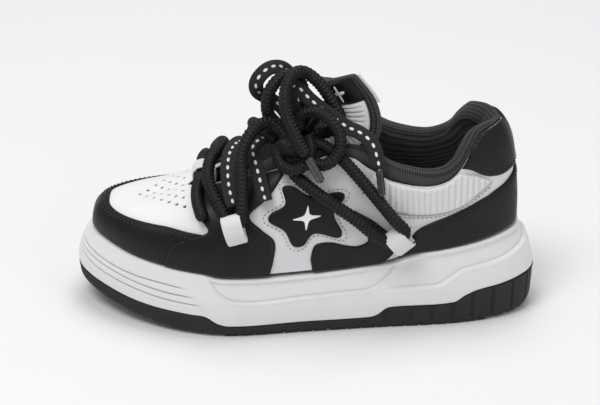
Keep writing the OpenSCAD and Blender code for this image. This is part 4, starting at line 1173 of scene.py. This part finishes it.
TOE_GROOVES = [([[0, 7.8], [10, 7.8], [29, 9.8], [41, 9.9], [52, 9.5], [60, 10.1]], 59),
               ([[0, 9.8], [5, 10], [25, 12.5], [38, 13.4], [52, 14.4], [63, 14.6]], 62),
               ([[0, 12.4], [8, 12.7], [25, 16.5], [40, 17.7], [52, 18.9], [65, 19.2]], 64)]
SIDE_PANEL = [[65, 39.6], [67, 32], [70, 26.4], [73, 24.2], [80, 23.5], [89, 25], [100, 26.6], [106, 27.8],
              [110, 33.5], [113, 40.6]]
HEEL_STEP = [[112.5, 27], [118.5, 28], [125, 28.6], [129, 32.6], [133, 37], [139.5, 38.8], [150, 41.2],
             [159, 44], [170, 46.7], [180, 47.5]]
HEEL_GROOVES = [104.5, 110.5, 117.5, 123.5, 130, 137, 145, 155, 166, 180]


def midsole():
    """White cup of the sole: toe grooves, a recessed side panel, a stepped heel and a rolled top edge."""
    us = np.arange(0, 360, 0.4)
    a = turn(us)[0]
    x = sole_x(us)
    low = tab(RUBBER_TOP, x) + 0.3
    top = tab(FOAM_TOP, x)
    under = spring(x) + FLOOR_T + GAP
    rings = [around_ring(us, -6, under, k) for k in (0.35, 0.7)]
    rings.append(around_ring(us, -RUBBER_T - 1.6, under))
    rings.append(around_ring(us, bulge(us, low) - RUBBER_T - 0.5, low - 0.1))
    shades = [np.zeros(len(us))] * 4
    for f in np.concatenate([[0, 0.004, 0.01, 0.02], np.linspace(0.03, 1, 110)]):
        z = mix(low, top, f)
        grow = bulge(us, z) + 0.1
        grow = grow - 0.9 * bell(z - low, 0.5)
        # Painted shade: darker where the foam meets the rubber, in the toe grooves and in the corners of the
        # side panel and heel step.
        shade = 0.35 * bell(z - low, 0.5)
        below = top - z
        for table, stop in TOE_GROOVES:
            groove = clamp((stop - a) / 3) * bell(below - tab(table, a), 0.4)
            grow = grow - 1.1 * groove
            shade = shade + 0.6 * groove
        line = tab(SIDE_PANEL, a)
        inside = smooth_step(64.4, 66.2, a) * smooth_step(113.6, 111.8, a)
        grow = grow - 1.6 * inside * smooth_step(-0.4, 0.5, z - line) * smooth_step(-0.4, 1.6, below - 1.4)
        grow = grow + 0.3 * inside * bell(z - line + 1.1, 0.8)
        shade = shade + 0.3 * inside * bell(z - line - 0.7, 0.5)
        step = tab(HEEL_STEP, a)
        behind = smooth_step(110.5, 113.5, a)
        grow = grow - 1.8 * behind * smooth_step(-0.7, 0.7, z - step) * smooth_step(-0.2, 2.2, below - 1.2)
        grow = grow + 0.25 * behind * bell(z - step + 1.6, 0.9)
        shade = shade + 0.25 * behind * bell(z - step - 1.1, 0.6)
        shades.append(clamp(shade))
        roll = clamp((below - 1.6) / -1.6)
        grow = grow - 1.1 * (1 - np.sqrt(clamp(1 - roll ** 2)))
        rings.append(around_ring(us, grow, z))
    lean = tab(LEAN, a)
    for g, dz in ((-1.9, 0.06), (-3.0, -0.05), (-5, -0.15)):
        rings.append(around_ring(us, -lean + g, top + dz))
    rings.append(around_ring(us, -lean - LEDGE_W, top - 0.2))
    floor = tab(BED, outline(us, -lean - LEDGE_W - 0.6)[0]) - 8
    rings.append(around_ring(us, -lean - LEDGE_W - 0.6, floor))
    rings += [around_ring(us, -12, tab(BED, outline(us, -12)[0] * k) - 8, k) for k in (0.7, 0.35)]
    shades += [np.zeros(len(us))] * (len(rings) - len(shades))
    obj = ring_stack("seen_midsole", rings, [0, 0, FLOOR_T + GAP], [0, 0, 19], M["foam"], shades)
    return settle(obj, ["midsole"])


def outsole():
    """Black rubber cup: knurled toe, upright grooves at the heel and notches along the ground edge."""
    us = np.arange(0, 360, 0.3)
    a = turn(us)[0]
    x = sole_x(us)
    length = run_of(around_ring(us, 0, 0))
    under = spring(x) + pad_room(x)
    top = tab(RUBBER_TOP, x)
    rings = [around_ring(us, -4, spring(outline(us, -4)[0] * k) + pad_room(outline(us, -4)[0] * k), k)
             for k in (0.35, 0.7)]
    rings.append(around_ring(us, -2.2, under))
    toe = smooth_step(63, 58, a)
    heel = smooth_step(101, 104, a)
    grooves = sum(bell(a - g, 0.62) for g in HEEL_GROOVES)
    notch = smooth_step(0.55, 0.85, np.sin(length * 2 * np.pi / 9.5))
    for f in np.concatenate([[0, 0.02, 0.05], np.linspace(0.09, 0.93, 46), [0.96, 0.985, 1]]):
        z = mix(under, top, f)
        above = z - under
        grow = bulge(us, z)
        knurl = np.cos(length * 2 * np.pi / 1.9) * np.cos(above * 2 * np.pi / 2.2)
        band = smooth_step(2.0, 3.2, above) * smooth_step(0.6, 1.8, top - z)
        grow = grow + toe * band * (0.32 * clamp(knurl * 1.4) - 0.14)
        grow = grow - 1.25 * heel * grooves * smooth_step(1.0, 2.5, above) * smooth_step(0.3, 1.4, top - z)
        grow = grow - 0.8 * notch * smooth_step(2.4, 0.4, above) * (1 - 0.6 * toe)
        grow = grow + 0.35 * bell(top - z - 0.9, 0.7)
        grow = grow - 0.6 * smooth_step(0.5, 0.0, top - z)
        rings.append(around_ring(us, grow, z))
    rings.append(around_ring(us, bulge(us, top) - RUBBER_T, top))
    inside = spring(x) + FLOOR_T
    rings.append(around_ring(us, -RUBBER_T - 1, inside))
    rings += [around_ring(us, -4, spring(outline(us, -4)[0] * k) + FLOOR_T, k) for k in (0.7, 0.35)]
    obj = ring_stack("seen_outsole", rings, [0, 0, 2.1], [0, 0, FLOOR_T], M["rubber"])
    return settle(obj, ["outsole"])


def sockliner():
    """Cushioned insert with a rounded, slightly raised edge."""
    us = np.arange(0, 360, 1.5)
    lean = tab(LEAN, turn(us)[0])
    grow = -lean - LEDGE_W - 1.3

    def level(g, dz, k=1.0):
        px, py = outline(us, g)
        return np.stack([px * k, py * k, tab(BED, px * k) + dz], -1)

    rings = [level(-14, 2.3, 0.4), level(-14, 2.3, 0.75), level(grow - 1, 2.3), level(grow, 3.2),
             level(grow, 6.0), level(grow - 0.6, 6.9), level(grow - 2, 7.2), level(grow - 5, 7.0)]
    rings += [level(-14, 6.9, k) for k in (0.75, 0.6, 0.4, 0.2)]
    bed0 = float(tab(BED, 0.0))
    obj = ring_stack("seen_sockliner", rings, [0, 0, bed0 + 2.3], [0, 0, bed0 + 6.9], M["sock"])
    return settle(obj, ["sockliner"])


midsole()
outsole()
sockliner()


# ---------------------------------------------------------------- collar and lining
ROLL_EDGE = [[98, 0.9], [105, 0.885], [112, 0.875], [120, 0.87], [128, 0.905], [135, 0.955], [150, 0.965],
             [180, 0.965]]


def collar_pad():
    """Padded collar roll and the padding below it, covered in knitted mesh."""
    us = np.arange(97, 263.01, 0.75)
    a = turn(us)[0]
    e = tab(ROLL_EDGE, a)
    k = clamp((a - 97) / 8, 0.55, 1)
    one = np.ones_like(us)
    profile = [(0.46 * one, -GAP * one, 0), (0.66 * one, -GAP * one, 0), (e - 0.02, -GAP * one, 0),
               (e + 0.01, BASE_T * one, 0), (one, 1.6 * one, 0), (one, -0.6 * one, 2.2), (one, -4.2 * k, 3),
               (one, -8 * k, 1.2), (one, -9.5 * k, -3), (0.86 * one, -9.5 * k, 0), (0.66 * one, -7.5 * k, 0),
               (0.46 * one, -4.6 * one, 0)]
    corner = np.stack([skin(us, np.where(v > 0.999, 0.9985, v), d) + np.array([0, 0, lift])
                       for v, d, lift in profile], axis=1)
    t = np.linspace(0, 1, 72, endpoint=False)
    rings = np.stack([curve(corner[i], t, True) for i in range(len(us))])
    middle = rings.mean(axis=1, keepdims=True)
    away = unit(rings - middle)
    along = np.arange(len(us))[:, None] * 1.6
    rings = rings + away * (0.22 * noise2(along / 7, t[None, :] * 60, 21))[..., None]
    lengths = run_of(rings[len(us) // 2])
    uv = np.stack(np.meshgrid(np.arange(len(us)) * 1.55, lengths, indexing="ij"), -1)
    obj = tube("seen_collar_pad", rings, middle[[0, -1]], uv, M["knit"])
    fix_normals(obj)
    settle(obj, ["collar_pad"])


def fix_normals(obj):
    """Turn every face outwards."""
    bm = bmesh.new()
    bm.from_mesh(obj.data)
    bmesh.ops.recalc_face_normals(bm, faces=bm.faces)
    bm.to_mesh(obj.data)
    bm.free()


def quarter_lining():
    """Lining of the sides and heel, up to the collar padding."""
    low = [[u, 0.02] for u in np.linspace(69.5, 290.5, 11)]
    high = [[u, 0.49] for u in np.linspace(69.5, 290.5, 11)]
    depth = -GAP - 1.4 - GAP - LINING_T
    g = patch_grid(low, high, 1, 2.5, 2.5, [0, 1, 2])
    front = skin(g["u"], g["v"], np.full(g["u"].shape, depth + LINING_T))
    back = skin(g["u"], g["v"], np.full(g["u"].shape, depth))
    obj = closed_sheet("seen_quarter_lining", front, back, sheet_uv(g["u"], g["v"]), M["knit"])
    return settle(obj, ["quarter_lining"])


collar_pad()
quarter_lining()


# ---------------------------------------------------------------- tongue
BINDING_R = 1.35
TONGUE_LONG, TONGUE_WIDE = 125, 24


def tongue_pad():
    """Padded tongue in knitted mesh, thick in the middle with thin side edges."""
    rounding = np.sin(np.linspace(0.1, 1, 12) * np.pi / 2)
    ks = np.concatenate([np.linspace(0, 0.96, 150), 0.96 + 0.04 * rounding])
    a = circle(80)
    k, w = np.meshgrid(ks, np.cos(a), indexing="ij")
    sign = np.sign(np.sin(a))[None, :]
    top = np.sqrt(clamp(1 - clamp((k - 0.955) / 0.046) ** 2, 0.02, 1))
    depth = tongue_depth(k.ravel()).reshape(k.shape) * (1 - np.abs(w) ** 3) * sign * top
    depth = depth + 0.25 * sign * np.abs(np.sin(a))[None, :] ** 0.3
    depth = depth + 0.15 * noise2(k * 14, w * 5, 31)
    points = tongue_at(k, w * (0.96 + 0.04 * top), depth)
    rings = points.reshape(k.shape + (3,))
    uv = np.stack([k * TONGUE_LONG, w * 25], -1)
    obj = tube("seen_tongue", rings, rings[[0, -1]].mean(axis=1), uv, M["tongue"], flip=False)
    fix_normals(obj)
    settle(obj, ["tongue"], "tongue")


def tongue_layer(node, k0, k1, w0, w1, low, high, mat, side=1, ribs=0.0, pitch=3.3, puff=0.0):
    """Sheet sewn on the tongue, with rounded edges and, if asked, ribs across it."""
    ks = np.linspace(k0, k1, int((k1 - k0) * TONGUE_LONG / 0.42))
    ws = np.linspace(w0, w1, 60)
    k, w = np.meshgrid(ks, ws, indexing="ij")
    level = tongue_depth(k.ravel()).reshape(k.shape) * (1 - np.minimum(np.abs(w), 1) ** 3)
    s = np.minimum(np.minimum(k - k0, k1 - k) * TONGUE_LONG, np.minimum(w - w0, w1 - w) * TONGUE_WIDE)
    front = level + low + (high - low) * rounded(s, 1.2, 0.3) + puff * (1 - np.exp(-s / 4))
    if ribs:
        wave = np.abs(np.sin(np.pi * (k - k0) * TONGUE_LONG / pitch)) ** 0.7
        front = front + ribs * (wave - 0.5) * smooth_step(0.3, 2, s)
    a = tongue_at(k, w, side * front).reshape(k.shape + (3,))
    b = tongue_at(k, w, side * (level + low * 0.3)).reshape(k.shape + (3,))
    uv = np.stack([(k - k0) * TONGUE_LONG, (w - w0) * TONGUE_WIDE], -1)
    obj = closed_sheet("seen_" + node, a, b, uv, mat)
    fix_normals(obj)
    return settle(obj, [node], "tongue")


def tongue_binding():
    """Rolled binding along both sides and over the top of the tongue."""
    ks = np.linspace(0.3, 0.975, 60)
    left = tongue_at(ks, np.full(60, -1.0), np.zeros(60))
    arc = np.linspace(-1, 1, 30)[1:-1]
    over = tongue_at(0.975 + 0.022 * (1 - arc ** 4), arc, np.zeros(28))
    right = tongue_at(ks, np.full(60, 1.0), np.zeros(60))[::-1]
    path = np.concatenate([left, over, right])
    run = run_of(path)
    at = np.arange(0, run[-1], 0.8)
    p = points_at(at, run, path)
    d = unit(np.gradient(p, axis=0))
    lean = np.array([-0.6, 0, 0.8])
    out = unit(lean - (d @ lean)[:, None] * d)
    a = circle(16)
    radius = (BINDING_R + 0.08 * np.sin(at * 2 * np.pi / 2.4))[:, None]
    rings = around_line(p, np.cross(d, out), out, radius * np.cos(a), radius * np.sin(a))
    uv = np.stack(np.meshgrid(at, a * BINDING_R, indexing="ij"), -1)
    obj = tube("tongue_binding", rings, p[[0, -1]], uv, M["thread_black"])
    settle(obj, (), "tongue")


tongue_pad()
tongue_binding()
tongue_layer("tongue_front", 0.5, 0.865, -0.82, 0.82, 0.5, 1.7, M["ribs"], ribs=0.9,
             puff=0.5)
tongue_layer("tongue_label", 0.872, 0.992, -0.88, 0.88, 0.5, 1.6, M["black"], puff=0.3)
tongue_layer("tongue_tag", 0.84, 0.97, -1.12, -0.55, 0.6, 1.4, M["web"], side=-1)


def tongue_mark():
    """Plain four-pointed sparkle on the label."""
    a = circle(96)
    reach = 1.5 + 4.4 * np.abs(np.cos(2 * a)) ** 5
    middle_k, middle_w = np.array([0.932]), np.array([-0.3])
    rings = []
    for f, lift in ((1, 0.2), (0.97, 0.5), (0.9, 0.62), (0.6, 0.62), (0.3, 0.62)):
        k = middle_k + reach * f * np.sin(a) / TONGUE_LONG
        w = middle_w + reach * f * np.cos(a) / TONGUE_WIDE
        level = tongue_depth(k) * (1 - np.abs(w) ** 3)
        rings.append(tongue_at(k, w, level + 1.75 + lift))
    ends = [tongue_at(middle_k, middle_w, tongue_depth(middle_k) + lift) for lift in (1.6, 2.5)]
    obj = tube("label_mark", np.stack(rings), ends, None, M["print"], flip=False)
    fix_normals(obj)
    settle(obj, (), "tongue")


tongue_mark()


# ---------------------------------------------------------------- lace loops
WEB_W, WEB_T, LOOP_R = 12.0, 1.3, 5.9


def webbing_loop(node, o, across, rise, n, low):
    """A folded strip of webbing: across its width, with rise and n as the two axes of its bend."""
    line = [[-9, low], [-4, low]]
    line += [[2 + LOOP_R * math.cos(math.radians(t)), low + LOOP_R + LOOP_R * math.sin(math.radians(t))]
             for t in range(-90, 91, 36)]
    line += [[-4, low + 10.4], [-8, low + 6.2], [-9.4, low + 2.6]]
    c = curve(line, np.linspace(0, 1, 110))
    d = unit(np.gradient(c, axis=0))
    k = np.stack([-d[:, 1], d[:, 0]], 1)
    t = circle(36)
    w = np.sign(np.cos(t)) * np.abs(np.cos(t)) ** 0.35 * WEB_W / 2
    h = np.sign(np.sin(t)) * np.abs(np.sin(t)) ** 0.6 * WEB_T / 2
    run = run_of(c)
    ripple = 1 + 0.06 * np.sin(run[:, None] * 2 * np.pi / 1.6)
    height = h[None, :] * ripple
    ring = (o + across * w[None, :, None] + rise * (c[:, 0, None] + k[:, 0, None] * height)[..., None]
            + n * (c[:, 1, None] + k[:, 1, None] * height)[..., None])
    uv = np.stack(np.meshgrid(run, w + WEB_W / 2, indexing="ij"), -1)
    obj = tube("seen_" + node, ring, ring[[0, -1]].mean(axis=1), uv, M["web"], flip=False)
    fix_normals(obj)
    return settle(obj, [node])


def side_loop(node, u, v, tilt):
    """A lace loop sewn to the side of the upper at (u, v)."""
    at = np.array(float(u)), np.array(float(v))
    n = facing(*at)
    along = unit(base(at[0] + 1, at[1]) - base(at[0] - 1, at[1]))
    up = np.cross(n, along)
    c, s = math.cos(math.radians(tilt)), math.sin(math.radians(tilt))
    webbing_loop(node, base(*at), along * c + up * s, up * c - along * s, n, 4.1)


for word, side in SIDES:
    side_loop(word + "_front_loop", 72 * side, 0.42, 10 * side)
for word, side in SIDES:
    side_loop(word + "_rear_loop", 113.5 * side, 0.27, 28 * side)
back_lean = np.array([-0.75, 0, 0.66])
webbing_loop("front_loop", np.array([-66.0, 1, 81]), np.array([0.0, 1, 0]), back_lean,
             np.cross([0, 1, 0], back_lean), 0)


# ---------------------------------------------------------------- knot
KNOT_MIDDLE, KNOT_REACH = (-7, -23, 116), (12, 10, 8)


def knot():
    """Core of the knot: a lump of squashed cord, braided like the laces."""
    b = np.linspace(-np.pi / 2 * 0.985, np.pi / 2 * 0.985, 90)[:, None]
    a = circle(140)[None, :]
    weave = (np.abs(np.sin(9 * a + 7 * b)) ** 0.7 + np.abs(np.sin(9 * a - 7 * b)) ** 0.7) / 2
    folds = 0.06 * np.sin(3 * a + 2 * np.sin(2 * b)) + 0.05 * np.sin(5 * b + a)
    r = 0.94 + folds + 0.05 * (weave - 0.5)
    x, y, z = KNOT_MIDDLE
    rx, ry, rz = KNOT_REACH
    rings = np.stack([x + rx * r * np.cos(a) * np.cos(b), y + ry * r * np.sin(a) * np.cos(b),
                      z + rz * r * np.sin(b) * np.ones_like(a)], -1)
    ends = [[x, y, z - rz * 0.94], [x, y, z + rz * 0.94]]
    uv = np.stack(np.broadcast_arrays(a * 12, b * 9), -1)
    # Painted shade in the gaps of the knot's braid, carried by the shade attribute.
    obj = tube("seen_knot", rings, ends, uv, M["rope"], clamp((0.55 - weave) * 2), flip=False)
    fix_normals(obj)
    settle(obj, ["knot"])


knot()

# ---------------------------------------------------------------- CAD pieces that stay in view or inside
KEPT = {"forefoot_tread": "tread", "heel_tread": "tread", "foam_core": "core", "insole_board": "board",
        "vamp_lining": "sock", "toe_puff": "stiff", "heel_stiffener": "stiff"}
for node_name, key in KEPT.items():
    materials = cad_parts[node_name].data.materials
    if len(materials):
        materials[0] = M[key]
    else:
        materials.append(M[key])

# ---------------------------------------------------------------- floor and light
floor_mat = Shader("studio_floor")
dust = floor_mat.noise(3, 3)
floor_mat.wire("Base Color", floor_mat.blend(dust, grey(0.86), grey(0.88)))
floor_mat.wire("Roughness", 0.7)
FLOOR_HALF, FLOOR_DROP = 3000, 0.05
floor_corners = [[x * FLOOR_HALF, y * FLOOR_HALF, -FLOOR_DROP]
                 for x, y in ((-1, -1), (1, -1), (1, 1), (-1, 1))]
floor = build("floor", np.array(floor_corners), [[0, 1, 2, 3]], mat=floor_mat.mat, smooth=False)


def soft_light(name, place, size, power, aim=(0, 0, 0.06)):
    """A round area light, aimed at the shoe."""
    data = bpy.data.lights.new(name, "AREA")
    data.shape = "DISK"
    data.size = size
    data.energy = power
    lamp = bpy.data.objects.new(name, data)
    bpy.context.scene.collection.objects.link(lamp)
    lamp.location = place
    lamp.rotation_euler = (Vector(aim) - Vector(place)).to_track_quat("-Z", "Y").to_euler()


LIGHTS = (("key", (-0.7, -0.8, 2.1), 1.0, 22),
          ("fill", (1.5, -1.3, 1.0), 1.4, 4),
          ("top", (0.1, 0.5, 2.0), 1.2, 14))
for light in LIGHTS:
    soft_light(*light)
world = bpy.data.worlds.new("studio")
bpy.context.scene.world = world
world.use_nodes = True
background = world.node_tree.nodes["Background"].inputs
background["Color"].default_value = (1, 1, 1, 1)
background["Strength"].default_value = 0.42
view = bpy.context.scene.view_settings
view.view_transform = "Standard"
view.look = "None"
view.exposure = 0.0
